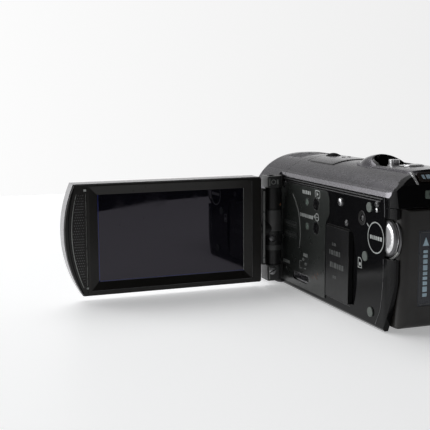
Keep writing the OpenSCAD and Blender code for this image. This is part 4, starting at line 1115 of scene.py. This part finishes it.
def make_floor():
    """A pale table top, in metres; its near edge is closer to the camcorder on the left than on the right."""
    far, half = 0.44, 1.6
    near = [(-half, -0.14), (-0.2, -0.15), (-0.013, -0.26), (0.035, -0.293), (0.092, -0.307), (half, -0.33)]
    bm = bmesh.new()
    corners = near + [(half, far), (-half, far)]
    bm.faces.new([bm.verts.new((x, y, 0)) for x, y in corners])
    mesh = bpy.data.meshes.new("floor")
    bm.to_mesh(mesh)
    bm.free()
    floor = bpy.data.objects.new("floor", mesh)
    floor.location.z = -FLOOR_GAP
    floor.data.materials.append(pale_surface("floor", (0.90, 0.905, 0.91), 0.45))
    scene.collection.objects.link(floor)


def make_world():
    """White wall ahead and to the left, a darker ceiling and a dim room behind the camera."""
    world = bpy.data.worlds.new("studio")
    world.use_nodes = True
    scene.world = world
    tree = Tree(world.node_tree)
    way = tree.add("ShaderNodeSeparateXYZ", {0: tree.add("ShaderNodeTexCoord").outputs["Generated"]})
    ahead = tree.span(way.outputs["Y"], -0.15, 0.4)
    left = tree.span(way.outputs["X"], 0.1, -0.8)
    level = tree.math("MAXIMUM", ahead, tree.math("MULTIPLY", left, 0.75))
    height = tree.span(way.outputs["Z"], 0.1, 0.36, 1.0, 0.3)
    behind = tree.span(way.outputs["Y"], 0.05, -0.35, 1.0, 0.12)
    room = tree.math("MULTIPLY", tree.math("MULTIPLY", level, height), behind)
    light = tree.span(room, 0, 1, 0.02, 1.0)
    wall = tree.span(way.outputs["X"], 0.0, 0.62, 1.0, 0.845)
    seen = tree.add("ShaderNodeLightPath").outputs["Is Camera Ray"]
    strength = tree.add("ShaderNodeMix", {0: seen, 2: light, 3: wall})
    back = tree.add("ShaderNodeBackground", {"Color": (1, 1, 1, 1), "Strength": strength.outputs[0]})
    tree.add("ShaderNodeOutputWorld", {"Surface": back.outputs[0]})


def soft_light(name, place, aim, size, power):
    """Rectangular lamp that faces a point."""
    lamp = bpy.data.lights.new(name, "AREA")
    lamp.shape = "RECTANGLE"
    lamp.size, lamp.size_y = size
    lamp.energy = power
    obj = bpy.data.objects.new(name, lamp)
    obj.location = place
    obj.rotation_euler = (Vector(aim) - Vector(place)).to_track_quat("-Z", "Y").to_euler()
    scene.collection.objects.link(obj)


CAMERA_AT = Vector((-189.2, -337.5, 89.7)) * MM
VIEW_YAW, VIEW_PITCH, VIEW_ROLL = 19.84, 8.04, -0.377      # degrees
VIEW_LENS = 74.02                                          # on a 36 mm wide sensor


def make_camera():
    """Camera where the photograph was taken from."""
    yaw, pitch, roll = (math.radians(a) for a in (VIEW_YAW, VIEW_PITCH, VIEW_ROLL))
    ahead = Vector((math.sin(yaw) * math.cos(pitch), math.cos(yaw) * math.cos(pitch), -math.sin(pitch)))
    right = Vector((math.cos(yaw), -math.sin(yaw), 0))
    up = right.cross(ahead)
    side = right * math.cos(roll) + up * math.sin(roll)
    top = up * math.cos(roll) - right * math.sin(roll)
    data = bpy.data.cameras.new("view")
    data.lens = VIEW_LENS
    data.clip_start = 0.01
    camera = bpy.data.objects.new("view", data)
    turn = Matrix((side, top, -ahead)).transposed()
    camera.matrix_world = Matrix.Translation(CAMERA_AT) @ turn.to_4x4()
    scene.collection.objects.link(camera)
    scene.camera = camera


bay_prints()
wall_prints()
door_prints()
bay_ridge()
wall_beads()
wall_screws()
door_gap()
button_rings()
hinge_details()
panel_details()
panel_back()
top_details()
rear_details()
battery_details()
dial_details()
make_strap()
front_details()
side_details()
base_details()
make_floor()
make_world()
soft_light("overhead", (-0.25, 0.45, 0.9), (0, 0, 0), (1.0, 0.6), 5)
soft_light("left_side", (-0.9, 0.55, 0.3), (0, 0, 0.03), (0.9, 0.4), 5)
make_camera()
scene.view_settings.view_transform = "Standard"
